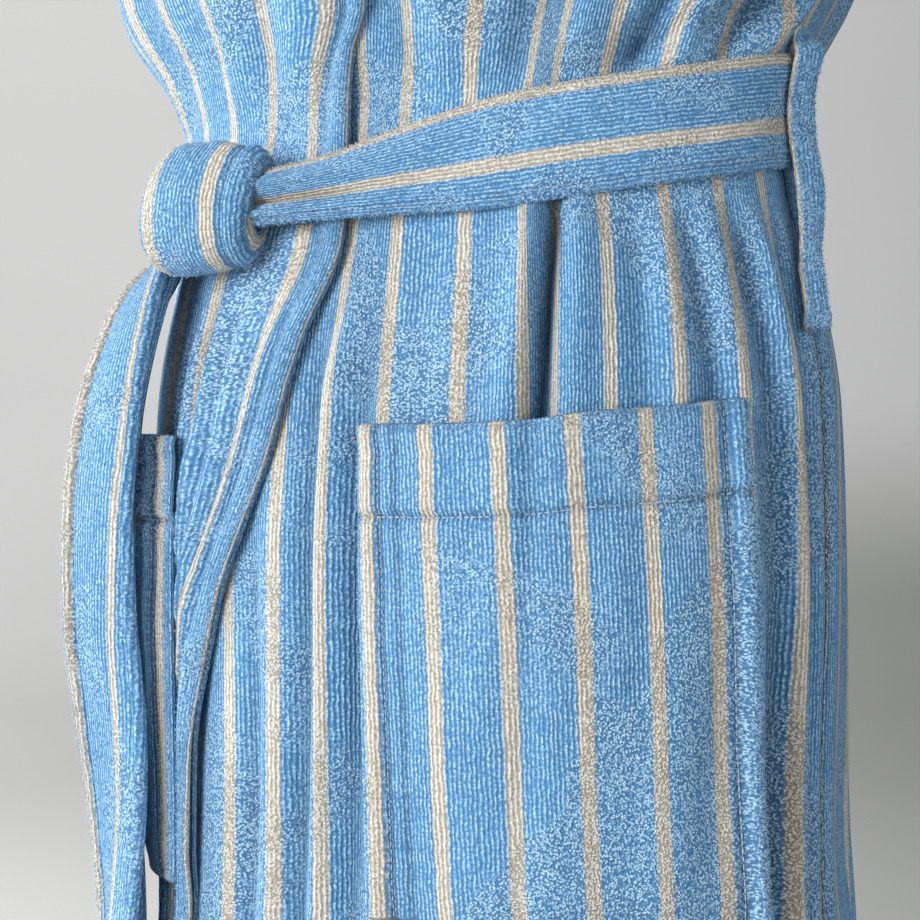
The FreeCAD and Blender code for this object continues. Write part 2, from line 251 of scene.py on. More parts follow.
def terry(name, stripe=0.215, rib=0.0022, nap=14.0, loose=False):
    """Looped pile in ribs that run along the cloth, with beige stripes. The cloth attribute holds
    the distance across the stripes in pitches, the distance along them in metres, and how deep in a
    crease the point is, which darkens the colour as painted shade. Loose is for the single loops
    that stand off an edge."""
    m = Nodes(name)
    cloth = m.add("ShaderNodeAttribute", attribute_name="cloth").outputs["Vector"]
    parts = m.add("ShaderNodeSeparateXYZ", links={0: cloth}).outputs
    across = m.math("MULTIPLY", parts[0], PITCH)
    flat = m.add("ShaderNodeCombineXYZ", links={0: across, 1: parts[1]}).outputs[0]
    wander = m.add("ShaderNodeTexNoise", {"Scale": 150.0, "Detail": 2.0}, {"Vector": flat})
    wobble = m.math("MULTIPLY", m.math("SUBTRACT", wander.outputs[0], 0.5), 0.0022)
    bent = m.math("ADD", across, wobble)
    # ribs of loops, and the loops along each rib
    wave = m.math("SINE", m.math("MULTIPLY", bent, 2 * math.pi / rib))
    ribs = m.math("MULTIPLY_ADD", wave, 0.5, 0.5)
    loops_at = m.add("ShaderNodeCombineXYZ", links={
        0: m.math("MULTIPLY", bent, 1 / rib), 1: m.math("MULTIPLY", parts[1], 1 / (rib * 0.72))})
    loops = m.add("ShaderNodeTexVoronoi", {"Scale": 1.0, "Randomness": 0.85},
                  {"Vector": loops_at.outputs[0]}, feature="SMOOTH_F1")
    loops.inputs["Smoothness"].default_value = 0.25
    loop = m.math("SUBTRACT", 1.0, m.math("MULTIPLY", loops.outputs["Distance"], 1.25), clamp=True)
    # where the pile lies over it shows ribs, where it stands it shows single loops
    patches = m.add("ShaderNodeTexNoise", {"Scale": nap, "Detail": 3.0, "Roughness": 0.55,
                                           "Distortion": 0.6}, {"Vector": flat})
    nap_here = m.add("ShaderNodeAttribute", attribute_name="nap").outputs["Fac"]
    standing = m.step(m.math("ADD", patches.outputs[0], m.math("MULTIPLY", nap_here, 0.5)), 0.44,
                      0.60)
    ribbed = m.math("MULTIPLY", m.math("MULTIPLY_ADD", ribs, 0.75, 0.25),
                    m.math("MULTIPLY_ADD", loop, 0.75, 0.35))
    tuft_at = m.add("ShaderNodeCombineXYZ", links={
        0: m.math("MULTIPLY", across, 1 / 0.00125), 1: m.math("MULTIPLY", parts[1], 1 / 0.00115)})
    tufts = m.add("ShaderNodeTexVoronoi", {"Scale": 1.0, "Randomness": 1.0},
                  {"Vector": tuft_at.outputs[0]}, feature="SMOOTH_F1")
    tufts.inputs["Smoothness"].default_value = 0.2
    tuft = m.math("SUBTRACT", 1.05, m.math("MULTIPLY", tufts.outputs["Distance"], 1.35), clamp=True)
    height = m.math("ADD", m.math("MULTIPLY", ribbed, m.math("MULTIPLY_ADD", standing, -0.85, 1.0)),
                    m.math("MULTIPLY", tuft, m.math("MULTIPLY_ADD", standing, 0.72, 0.10)))
    if loose:
        height = m.math("MULTIPLY_ADD", loop, 0.35, 0.55)
    # stripes with an edge that breaks at the loops
    grain = m.add("ShaderNodeTexNoise", {"Scale": 700.0, "Detail": 1.0}, {"Vector": flat})
    ragged = m.math("MULTIPLY_ADD", m.math("SUBTRACT", grain.outputs[0], 0.5), 0.07, parts[0])
    ragged = m.math("ADD", ragged, m.math("MULTIPLY", wobble, 12.0))
    from_stripe = m.math("ABSOLUTE",
                         m.math("SUBTRACT", m.math("FRACT", m.math("ADD", ragged, 0.5)), 0.5))
    beige = m.math("SUBTRACT", 1.0, m.step(from_stripe, stripe / 2 - 0.02, stripe / 2 + 0.02))
    # colour: painted shade between the loops and a painted highlight on their tips
    fleck = m.add("ShaderNodeTexNoise", {"Scale": 900.0, "Detail": 1.0}, {"Vector": flat})
    broken = m.math("MULTIPLY_ADD", m.math("SUBTRACT", fleck.outputs[0], 0.5), 0.75, height)
    tips = m.step(broken, 0.08, 0.74)
    lit = m.step(broken, 0.42, 1.0)
    blue = m.mix(tips, BLUE_DEEP, m.mix(m.math("MULTIPLY_ADD", standing, 0.50, m.math(
        "MULTIPLY_ADD", lit, 0.75, 0.03)), BLUE_MID, BLUE_LIGHT))
    sand = m.mix(tips, BEIGE_DEEP, BEIGE_LIGHT)
    colour = m.mix(beige, blue, sand)
    broad = m.add("ShaderNodeTexNoise", {"Scale": 5.0, "Detail": 2.0}, {"Vector": flat})
    colour = m.mix(m.math("MULTIPLY", m.step(broad.outputs[0], 0.35, 0.7), 0.18), colour,
                   (0.62, 0.80, 0.97, 1), "SOFT_LIGHT")
    # painted shade: the colour is darkened where the cloth attribute's third value marks a crease,
    # a fold's hollow or a stitched groove
    dark = m.math("MULTIPLY_ADD", m.math("MAXIMUM", parts[2], 0.0), -0.45, 1.0, clamp=True)
    shade = m.add("ShaderNodeCombineColor", links={0: dark, 1: dark, 2: dark}).outputs[0]
    colour = m.mix(1.0, colour, shade, "MULTIPLY")
    fine = m.add("ShaderNodeTexNoise", {"Scale": 1500.0, "Detail": 2.0}, {"Vector": flat})
    relief = m.math("MULTIPLY_ADD", fine.outputs[0], 0.35, height)
    normal = m.add("ShaderNodeBump", {"Strength": 0.9, "Distance": 0.0015}, {"Height": relief})
    shader = m.add("ShaderNodeBsdfPrincipled",
                   {"Roughness": 0.93, "Sheen Weight": 0.12, "Sheen Roughness": 0.5,
                    "Sheen Tint": (0.80, 0.90, 1.0, 1), "Specular IOR Level": 0.12},
                   {"Base Color": colour, "Normal": normal.outputs[0]})
    m.add("ShaderNodeOutputMaterial", links={0: shader.outputs[0]})
    return m.material


def woven(name, colour, scale=1400.0):
    """Flat woven cotton: thread and tape."""
    m = Nodes(name)
    place_at = m.add("ShaderNodeTexCoord").outputs["Object"]
    weave = m.add("ShaderNodeTexVoronoi", {"Scale": scale}, {"Vector": place_at})
    patch = m.add("ShaderNodeTexNoise", {"Scale": 90.0, "Detail": 3.0}, {"Vector": place_at})
    dark = tuple(0.6 * c for c in colour[:3]) + (1,)
    base = m.mix(m.step(weave.outputs["Distance"], 0.1, 0.8), colour, dark)
    base = m.mix(m.math("MULTIPLY", patch.outputs[0], 0.3), base, (0.8, 0.8, 0.78, 1))
    normal = m.add("ShaderNodeBump", {"Strength": 0.5, "Distance": 0.0004},
                   {"Height": weave.outputs["Distance"]})
    shader = m.add("ShaderNodeBsdfPrincipled",
                   {"Roughness": 0.85, "Sheen Weight": 0.2, "Specular IOR Level": 0.2},
                   {"Base Color": base, "Normal": normal.outputs[0]})
    m.add("ShaderNodeOutputMaterial", links={0: shader.outputs[0]})
    return m.material


TERRY = terry("terry")
TERRY_BELT = terry("terry_belt", stripe=0.235, nap=22.0)
TERRY_TAIL = terry("terry_tail", stripe=0.13, nap=18.0)
TERRY_POCKET = terry("terry_pocket", nap=9.0)
TERRY_COLLAR = terry("terry_collar")
LOOSE = terry("loose_loops", loose=True)
THREAD = woven("thread", (0.30, 0.47, 0.70, 1))
TAPE = woven("tape", (0.70, 0.68, 0.62, 1))


# ---- meshes -------------------------------------------------------------------------------
def new_object(name, points, faces, material, cloth=None, smooth=True):
    mesh = bpy.data.meshes.new(name)
    mesh.from_pydata(np.asarray(points).tolist(), [], faces)
    mesh.update()
    if smooth:
        mesh.shade_smooth()
    if cloth is not None:
        layer = mesh.attributes.new("cloth", "FLOAT_VECTOR", "POINT")
        layer.data.foreach_set("vector", np.asarray(cloth, np.float32).ravel())
    mesh.materials.append(material)
    piece = bpy.data.objects.new(name, mesh)
    scene.collection.objects.link(piece)
    return piece


def grid_normals(p):
    """Unit normals of a grid of points, from its neighbours."""
    du, dv = np.gradient(p, axis=0), np.gradient(p, axis=1)
    n = np.cross(du, dv)
    return n / np.maximum(np.linalg.norm(n, axis=-1, keepdims=True), 1e-12)


def sheet_mesh(name, outer, cloth, material, thickness=CLOTH, flip=False):
    """A closed sheet of cloth under a grid of points, with rounded edges."""
    outer = np.asarray(outer, float)
    count_u, count_v = outer.shape[:2]
    thick = np.broadcast_to(np.asarray(thickness, float) / 1000, (count_u, count_v))[..., None]
    normal = grid_normals(outer) * (-1 if flip else 1)
    inner = outer - normal * thick
    loop = [(i, 0) for i in range(count_u)] + [(count_u - 1, j) for j in range(1, count_v)]
    loop += [(i, count_v - 1) for i in range(count_u - 2, -1, -1)]
    loop += [(0, j) for j in range(count_v - 2, 0, -1)]
    li = np.array([i for i, j in loop])
    lj = np.array([j for i, j in loop])
    inside_i, inside_j = np.clip(li, 1, count_u - 2), np.clip(lj, 1, count_v - 2)
    outwards = outer[li, lj] - outer[inside_i, inside_j]
    outwards /= np.maximum(np.linalg.norm(outwards, axis=-1, keepdims=True), 1e-9)
    rim = (outer[li, lj] + inner[li, lj]) / 2 + outwards * thick[li, lj] * 0.45
    n = count_u * count_v
    index = np.arange(n).reshape(count_u, count_v)
    a, b, c, d = index[:-1, :-1], index[1:, :-1], index[1:, 1:], index[:-1, 1:]
    top = np.stack([a, b, c, d], -1).reshape(-1, 4)
    bottom = top[:, ::-1] + n
    edge = index[li, lj]
    nxt = np.roll(edge, -1)
    mid = 2 * n + np.arange(len(loop))
    mid_next = np.roll(mid, -1)
    rim_top = np.stack([edge, mid, mid_next, nxt], -1)
    rim_bottom = np.stack([mid, edge + n, nxt + n, mid_next], -1)
    faces = np.concatenate([top, bottom, rim_top, rim_bottom])
    if flip:
        faces = faces[:, ::-1]
    points = np.concatenate([outer.reshape(-1, 3), inner.reshape(-1, 3), rim])
    cloth = np.asarray(cloth, float)
    # the cloth goes on round the edges, so its loops keep their size there
    flat = cloth.reshape(-1, 3)
    centre = (flat.max(axis=0) + flat.min(axis=0)) / 2
    reach = np.maximum((flat.max(axis=0) - flat.min(axis=0)) / 2, 1e-6)
    turned = np.array([1 / PITCH, 1.0, 0.0]) * float(thick.max()) / reach
    under = centre + (flat - centre) * (1 + 1.7 * turned)
    edges = cloth[li, lj]
    values = np.concatenate([flat, under, edges + (edges - centre) * 0.85 * turned])
    return new_object(name, points, faces.tolist(), material, values)


def fuzz(name, points, cloth, where, count, length, body, bends=None, flip=False, seed=1,
         radius=0.17, spread=0.75):
    """Single loops and ends of yarn that stand off a sheet, most of them where the weights of
    where are high. Length and radius are in mm."""
    points, cloth = np.asarray(points, float), np.asarray(cloth, float)
    rng = np.random.RandomState(seed)
    weight = np.broadcast_to(where, points.shape[:2])[:-1, :-1].astype(float)
    area = np.linalg.norm(np.cross(points[1:, :-1] - points[:-1, :-1],
                                   points[:-1, 1:] - points[:-1, :-1]), axis=-1)
    chance = (weight * area).ravel()
    cells = rng.choice(chance.size, count, p=chance / chance.sum())
    i, j = np.unravel_index(cells, weight.shape)
    fu, fv = rng.rand(count, 1), rng.rand(count, 1)

    def mixed(grid):
        return ((grid[i, j] * (1 - fu) + grid[i + 1, j] * fu) * (1 - fv)
                + (grid[i, j + 1] * (1 - fu) + grid[i + 1, j + 1] * fu) * fv)

    root, here = mixed(points), mixed(cloth)
    out = grid_normals(points)[i, j] * (-1 if flip else 1)
    lean = rng.randn(count, 3) * spread
    first = out + lean * 0.6
    first /= np.linalg.norm(first, axis=1, keepdims=True)
    second = first * 0.55 + rng.randn(count, 3) * 0.65
    second /= np.linalg.norm(second, axis=1, keepdims=True)
    size = (length / 1000) * (0.55 + 0.75 * rng.rand(count, 1))
    thick = radius / 1000 * (0.8 + 0.5 * rng.rand(count, 1))
    a = np.cross(first, (0.31, 0.52, 0.79))
    a /= np.linalg.norm(a, axis=1, keepdims=True)
    b = np.cross(first, a)
    middle = root + first * size * 0.6
    tip = middle + second * size * 0.5
    rings = []
    for centre, grow in ((root - first * size * 0.15, 1.0), (middle, 0.85)):
        for k in range(3):
            angle = 2 * math.pi * k / 3
            rings.append(centre + (a * math.cos(angle) + b * math.sin(angle)) * thick * grow)
    rings.append(tip)
    verts = np.stack(rings, 1)
    base = (np.arange(count) * 7)[:, None]
    faces = []
    for k in range(3):
        n = (k + 1) % 3
        faces.append(base + np.array([k, n, n + 3]))
        faces.append(base + np.array([k, n + 3, k + 3]))
        faces.append(base + np.array([k + 3, n + 3, 6]))
    faces.append(base + np.array([2, 1, 0]))
    faces = np.concatenate(faces)
    values = np.repeat(here[:, None, :], 7, 1)
    piece = new_object(name, verts.reshape(-1, 3), faces.tolist(), LOOSE, values.reshape(-1, 3))
    if bends is None:
        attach(piece, body)
    else:
        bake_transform(piece)
    return piece


# the third value, crease, is the depth of the painted shade: it darkens the colour in hollows and
# grooves
def cloth_grid(across, along_mm, crease=0.0):
    across, along, crease = np.broadcast_arrays(across, np.asarray(along_mm) / 1000, crease)
    return np.stack([across, along, crease], -1)


def fit_out(piece, body, nodes, bends=None):
    """The piece stands for the nodes, which are hidden, and rides on the body, or, when bends is
    given, has its transform baked in where it stands."""
    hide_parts(*nodes)
    if bends is None:
        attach(piece, body)
    else:
        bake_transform(piece)
    return piece


# ---- folds --------------------------------------------------------------------------------
# Each fold: its bearing at some heights, its width in degrees, its height in mm at some heights.
FOLDS = [
    # the deep pleat under the belt, and its two shoulders
    ([(-1160, 30), (-800, 35), (-568, 37.2), (-515, 38), (-470, 39.6), (-430, 40)], 1.5,
     [(-1160, 0), (-900, -3), (-700, -6), (-600, -11), (-540, -15), (-490, -14), (-462, -7),
      (-440, 0)]),
    ([(-1160, 25), (-568, 33), (-470, 36)], 2.6,
     [(-1160, 2), (-600, 4), (-520, 6), (-480, 5), (-455, 0)]),
    ([(-1160, 36), (-568, 42), (-470, 43.5)], 2.8,
     [(-1160, 3), (-600, 5), (-520, 7), (-480, 6), (-455, 0)]),
    # gentler ones between the belt and the pocket
    ([(-1160, 18), (-560, 20), (-470, 20)], 3.2,
     [(-1160, -4), (-560, -3.5), (-500, -3), (-460, 0)]),
    ([(-1160, 48), (-560, 52), (-470, 52)], 2.6, [(-1160, -5), (-560, -4), (-500, -5), (-460, 0)]),
    ([(-560, 57), (-470, 56)], 2.6, [(-800, 2), (-560, 3), (-500, 4), (-460, 0)]),
    ([(-560, 63), (-470, 60.5)], 2.0, [(-800, -3), (-560, -5), (-500, -5), (-460, 0)]),
    ([(-800, 71), (-560, 68), (-470, 65)], 2.4, [(-1000, 3), (-560, 4), (-500, 4), (-460, 0)]),
    ([(-800, 76), (-560, 73.5), (-470, 70)], 1.9, [(-1000, -7), (-560, -6), (-500, -5), (-460, 0)]),
    ([(-800, 80), (-560, 78), (-470, 75)], 2.1, [(-1000, 5), (-560, 5), (-500, 5), (-460, 0)]),
    ([(-800, 84), (-560, 83), (-470, 80)], 1.8, [(-1000, -5), (-560, -4), (-500, -4), (-460, 0)]),
    # the round fold in front of the pocket and the hollows beside it
    ([(-1160, 3), (-700, 7.0), (-560, 7.6), (-500, 10)], 2.0,
     [(-1160, 6), (-700, 8), (-560, 7), (-510, 3), (-480, 0)]),
    ([(-1160, 8), (-700, 11.2), (-560, 11.6)], 1.5,
     [(-1160, -4), (-700, -5), (-560, -4), (-510, 0)]),
    ([(-1160, -4), (-700, 2.6), (-560, 3.4)], 1.9,
     [(-1160, -6), (-700, -6), (-560, -5), (-500, 0)]),
    ([(-1160, -12), (-800, -3), (-600, -3)], 2.6, [(-1160, 5), (-800, 4), (-620, 3), (-560, 0)]),
    ([(-1160, -18), (-800, -8.5), (-660, -7)], 2.2,
     [(-1160, -6), (-800, -6), (-660, -4), (-600, 0)]),
    # round the back
    ([(-1160, 112), (-470, 104)], 5.0, [(-1160, 8), (-600, 4), (-470, 0)]),
    ([(-1160, 124), (-470, 112)], 4.5, [(-1160, -9), (-600, -6), (-480, -4), (-450, 0)]),
    ([(-1160, 140), (-470, 126)], 5.0, [(-1160, 9), (-600, 5), (-480, 4), (-450, 0)]),
    ([(-1160, 157), (-470, 143)], 4.0, [(-1160, -9), (-600, -6), (-480, -5), (-450, 0)]),
    ([(-1160, 176), (-470, 158)], 5.5, [(-1160, 9), (-600, 5), (-480, 5), (-450, 0)]),
    ([(-1160, 196), (-470, 178)], 4.0, [(-1160, -8), (-600, -6), (-480, -5), (-450, 0)]),
    ([(-1160, 214), (-470, 200)], 5.5, [(-1160, 9), (-600, 5), (-480, 4), (-450, 0)]),
    ([(-1160, 232), (-470, 222)], 4.5, [(-1160, -8), (-600, -5), (-480, -4), (-450, 0)]),
    ([(-1160, 248), (-470, 242)], 5.0, [(-1160, 7), (-600, 4), (-450, 0)]),
    # above the belt, fanning out from it
    ([(-420, 16), (-340, 12)], 3.0, [(-425, 0), (-400, -4), (-340, -5), (-260, 0)]),
    ([(-420, 24), (-340, 24)], 4.0, [(-425, 0), (-395, 5), (-340, 6), (-260, 0)]),
    ([(-420, 34), (-380, 36), (-320, 42)], 2.4, [(-425, 0), (-405, -6), (-370, -7), (-280, 0)]),
    ([(-420, 43), (-380, 47), (-320, 58)], 3.4, [(-422, 0), (-400, 6), (-360, 9), (-270, 0)]),
    ([(-415, 52), (-380, 58), (-330, 72)], 2.2, [(-420, 0), (-400, -8), (-370, -9), (-300, 0)]),
    ([(-415, 60), (-380, 66), (-330, 80)], 3.0, [(-416, 0), (-398, 8), (-370, 9), (-300, 0)]),
    ([(-412, 69), (-380, 76), (-340, 88)], 2.2, [(-414, 0), (-398, -8), (-372, -9), (-310, 0)]),
    ([(-412, 78), (-380, 86), (-340, 96)], 3.2, [(-412, 0), (-395, 7), (-370, 7), (-310, 0)]),
    ([(-410, 112), (-300, 104)], 5.0, [(-410, 0), (-390, 6), (-340, 8), (-250, 0)]),
    ([(-405, 126), (-300, 118)], 4.0, [(-405, 0), (-388, -7), (-340, -7), (-240, 0)]),
    ([(-402, 140), (-300, 134)], 5.0, [(-400, 0), (-382, 7), (-340, 8), (-220, 0)]),
    ([(-400, 156), (-300, 152)], 4.0, [(-398, 0), (-380, -8), (-330, -7), (-200, 0)]),
    ([(-400, 172), (-300, 174)], 6.0, [(-396, 0), (-378, 7), (-330, 8), (-200, 0)]),
    ([(-400, 190), (-300, 196)], 4.0, [(-396, 0), (-378, -8), (-330, -7), (-200, 0)]),
    ([(-402, 206), (-300, 212)], 5.0, [(-400, 0), (-382, 7), (-340, 8), (-220, 0)]),
    ([(-405, 224), (-300, 232)], 4.0, [(-405, 0), (-388, -7), (-340, -7), (-240, 0)]),
    ([(-410, 240), (-300, 248)], 5.0, [(-410, 0), (-390, 6), (-340, 8), (-250, 0)]),
]


def folds(t, z):
    """How far the inner layer's folds stand out, in mm, for bearings from -100 to 265."""
    total = np.zeros(np.broadcast(t, z).shape)
    for path, width, size in FOLDS:
        total = total + bump(t, curve(z, path), width) * curve(z, size)
    # the blouse over the belt, fuller towards the wearer's right, and a slimmer hip
    blouse = ease(z, -424, -392) * (1 - ease(z, -350, -260))
    total = total + blouse * (4 + 6 * bump(t, -60, 50))
    total = (total + bump(t, 108, 18)
             * curve(z, [(-1100, 0), (-800, -2), (-765, -4), (-660, -2), (-520, 0)]))
    slant = z - (-412 + (t - 48) * 1.15)
    there = ease(t, 44, 56) * (1 - ease(t, 86, 98)) * (1 - ease(z, -345, -315))
    total = total + there * (5.5 * bump(slant, 20, 13) - 8.5 * bump(slant, 0, 8))
    # grooves along the pocket's sides
    beside = ease(-z, 556, 572) * (1 - ease(-z, 786, 800))
    total = (total - beside * (4.0 * bump(t, 70.4 - (z + 560) * 0.0235, 1.5)
                               + 2.0 * bump(t, 10.6 - (z + 560) * 0.0105, 1.1)))
    # held flat under the pocket
    total = total * (1 - 0.72 * ease(t, 11, 16) * (1 - ease(t, 65, 70)) * ease(-z, 572, 600))
    total = total + 1.3 * ripple(t / 7.0, z / 90.0, 3) * ease(-z, 440, 520)
    total = (total
             + 1.6 * ripple(t / 9.0, z / 60.0, 4) * ease(z, -420, -380) * (1 - ease(z, -150, -80)))
    quiet = 1 - ease(z, -250, -120) * 0.6
    return total * quiet


# Bearings of the inner layer's stripes at the belt and below; each one is a pitch from the last.
UNDER_STRIPES = [
    (-62, -6), (-52, -5), (-42, -4), (-32, -3), (-22, -2), (-12, -1), (-1.5, 0), (7.5, 1),
    (14.8, 2), (26, 3), (35.5, 4), (39.3, 5), (47.3, 6), (57.6, 7), (68.0, 8), (78.5, 9),
    (88.5, 10), (98.5, 11), (268.5, 28),
]
# Bearings of the outer layer's stripes: one list of (height, bearing) for each.
OVER_STRIPES = [
    None,
    None,
    [(-1160, -52), (-758, -30), (-662, -25), (-585, -21), (-500, -18), (-460, -14), (-437, -10),
     (-400, -9), (-330, -5), (-250, -20)],
    [(-1160, -63), (-758, -40), (-600, -32), (-500, -30), (-437, -21), (-330, -18), (-250, -31)],
    [(-1160, -74), (-758, -53), (-600, -43), (-500, -41), (-437, -32), (-330, -30), (-250, -42)],
    [(-1160, -84), (-758, -65), (-600, -54), (-500, -52), (-437, -43), (-330, -41), (-250, -52)],
    [(-1160, -94), (-758, -77), (-600, -65), (-500, -63), (-437, -55), (-330, -53), (-250, -63)],
    [(-1160, -104), (-758, -89), (-600, -77), (-500, -75), (-437, -67), (-330, -65), (-250, -74)],
    [(-1160, -114), (-758, -100), (-600, -89), (-500, -87), (-437, -80), (-330, -78), (-250, -85)],
    [(-1160, -124), (-758, -111), (-600, -101), (-500, -99), (-437, -93), (-330, -91), (-250, -96)],
]


def under_cloth(t, z):
    """Pitches across the inner layer at bearings and heights."""
    ts = np.array([s[0] for s in UNDER_STRIPES], float)
    ks = np.array([s[1] for s in UNDER_STRIPES], float)
    lean = curve(z, [(-440, 0.0), (-380, 3.0), (-300, 5.0), (-5, 5.0)])
    return np.interp(t - lean, ts, ks) + 0.0 * z


def over_cloth(t, z):
    """Pitches across the outer layer, counted from its front edge."""
    z = np.asarray(z, float)
    edge = curve(z, EDGE_OVER)
    stations = [edge + 1.0, edge - 6.4]
    for path in OVER_STRIPES[2:]:
        stations.append(np.minimum(curve(z, path), stations[-1] - 3.0))
    out = np.zeros(np.broadcast(t, z).shape)
    t = np.broadcast_to(t, out.shape)
    for j in range(out.shape[1]):
        xs = np.array([s[0, j] if np.ndim(s) == 2 else s[j] for s in stations])[::-1]
        out[:, j] = np.interp(t[:, j], xs, np.arange(len(xs))[::-1])
    return out


# How far the outer front stands out or falls in beside the right hip, at each height.
SLIM = [(-1160, 0), (-1000, -6), (-815, -18), (-765, -14), (-660, -7), (-515, -8), (-450, 0),
        (-400, 4), (-370, 10), (-320, 6), (-250, 0)]


def over_folds(t, z, across):
    """The outer front's narrow gathers, which follow its cloth."""
    below = ease(-z, 492, 540)
    near = bump(across, 1.6, 1.15)
    size = curve(z, [(-1160, 3.5), (-800, 3.4), (-600, 3.2), (-500, 2.2), (-470, 0.5)])
    gathers = np.sin(2 * np.pi * (2.3 * across + 0.5 * ripple(across * 0.7, z / 160, 11)))
    total = near * size * gathers * below
    total = total + 3.5 * ripple(across * 1.1, z / 200, 12) * below * ease(across, 2.0, 3.5)
    above = ease(z, -432, -395) * (1 - ease(z, -240, -150))
    total = (total + above * (2.6 * np.sin(2 * np.pi * (0.8 * across + 0.1))
                              + 2.2 * ripple(across * 1.5, z / 70, 13)))
    total = total + bump(t, -58, 26) * curve(z, SLIM)
    beside_pocket = ease(-z, 565, 590) * (1 - ease(-z, 770, 800))
    return total + 3.2 * bump(t, -19.3, 2.2) * beside_pocket


# ---- panels -------------------------------------------------------------------------------
STEP_Z = 4.0
STEP_T = 1.05


def crease_depth(relief):
    """How far each point lies below its neighbourhood, from 0 to about 1: how deep the painted
    shade in the folds' hollows is.
    """
    wide = relief.copy()
    for _ in range(3):
        padded_ = np.pad(wide, ((4, 4), (0, 0)), mode="edge")
        wide = np.mean([padded_[k:k + relief.shape[0]] for k in range(9)], axis=0)
    return np.clip((wide - relief) / 7.0, 0, 1.2)


def panel(name, t, z, lift, across, node, free_edge=None):
    """One big piece: t and z are grids (across, up)."""
    # the folds' hollows get painted shade through crease_depth
    points, cloth = place(t, z, lift), cloth_grid(across, z, crease_depth(lift))
    piece = sheet_mesh(name, points, cloth, TERRY, thickness=CLOTH, flip=False)
    fit_out(piece, "robe", [node])
    if free_edge is not None:
        fuzz(name + "_fuzz", points, cloth, free_edge, 5200, 1.5, "robe", seed=4)
    return piece


def panel_grid(first, last, z):
    """Bearings from first(z) to last(z), evenly spread, with the heights beside them."""
    count = int(round(np.max(np.abs(last - first)) / STEP_T)) + 1
    s = np.linspace(0, 1, count)[:, None]
    return (first[None, :] + (last - first)[None, :] * s,
            np.broadcast_to(z[None, :], (count, len(z))))


def hem_bead(z):
    """A doubled hem: thicker for its last 35 mm, with a dip where it is stitched."""
    up = z - HEM_Z
    return 1.6 * (1 - ease(up, 30, 34)) - 1.6 * bump(up, 32, 2.5)


def seam_dip(t, seam):
    """The groove along a sewn seam."""
    return (-2.0 * bump((t - seam) * MM_PER_DEGREE, 0, 3.0)
            + 0.8 * bump((t - seam) * MM_PER_DEGREE, 9, 3.0))


def build_panels():
    z = rows(HEM_Z, NECK_Z, STEP_Z)
    # left front, the inner layer
    joined = 0.9 * SEAM_GAP * (1 - ease(z, -330, -320))
    first, last = curve(z, EDGE_UNDER), side(z, SEAM_LEFT) + joined
    t, zz = panel_grid(first, last, z)
    lift = folds(t, zz) + hem_bead(zz) + seam_dip(t, last)
    hidden = 1 - ease(t - curve(zz, EDGE_OVER), -6, 1)
    hidden = hidden * ease(-zz, 235, 262)
    lift = lift * (1 - hidden) - 4.0 * hidden
    rolled = bump((t - first) * 3.0, 3, 4) * ease(zz, -300, -260) * (1 - ease(zz, -100, -60))
    panel("front_left", t, zz, lift + 1.5 * rolled, under_cloth(t, zz), "front_panel_left")
    # right front, the outer layer
    first, last = curve(z, EDGE_OVER), side(z, SEAM_RIGHT) - joined
    t, zz = panel_grid(last, first, z)
    across = over_cloth(t, zz)
    lift = over_lift(t, zz) + over_folds(t, zz, across) + hem_bead(zz)
    lift = lift + seam_dip(t, last)
    from_edge = (first - t) * 3.0
    lift = lift + 2.2 * bump(from_edge, 5, 4.5) - 1.6 * bump(from_edge, 14, 3.0)
    seen = ease(-zz, 250, 330) * (1 - ease(-zz, 900, 960))
    panel("front_right", t, zz, lift, across, "front_panel_right",
          free_edge=seen * (bump(from_edge, 0, 4.5) + 0.12 * bump(from_edge, 14, 9)) + 1e-6)
    # back
    beside_arm = 180 - arm_bearing(z) + SEAM_GAP
    first = np.maximum(side(z, SEAM_LEFT) + 2 * SEAM_GAP, beside_arm) - joined
    last = 360 - np.maximum(-side(z, SEAM_RIGHT) + 2 * SEAM_GAP, beside_arm) + joined
    t, zz = panel_grid(first, last, z)
    fade = ease(t - 90, 0, 6) * ease(263 - t, 0, 6)
    lift = folds(t, zz) * np.maximum(fade, ease(-zz, 400, 440)) + hem_bead(zz)
    lift = lift + seam_dip(t, first) + seam_dip(t, last)
    panel("back", t, zz, lift, under_cloth(t, zz), "back_panel")


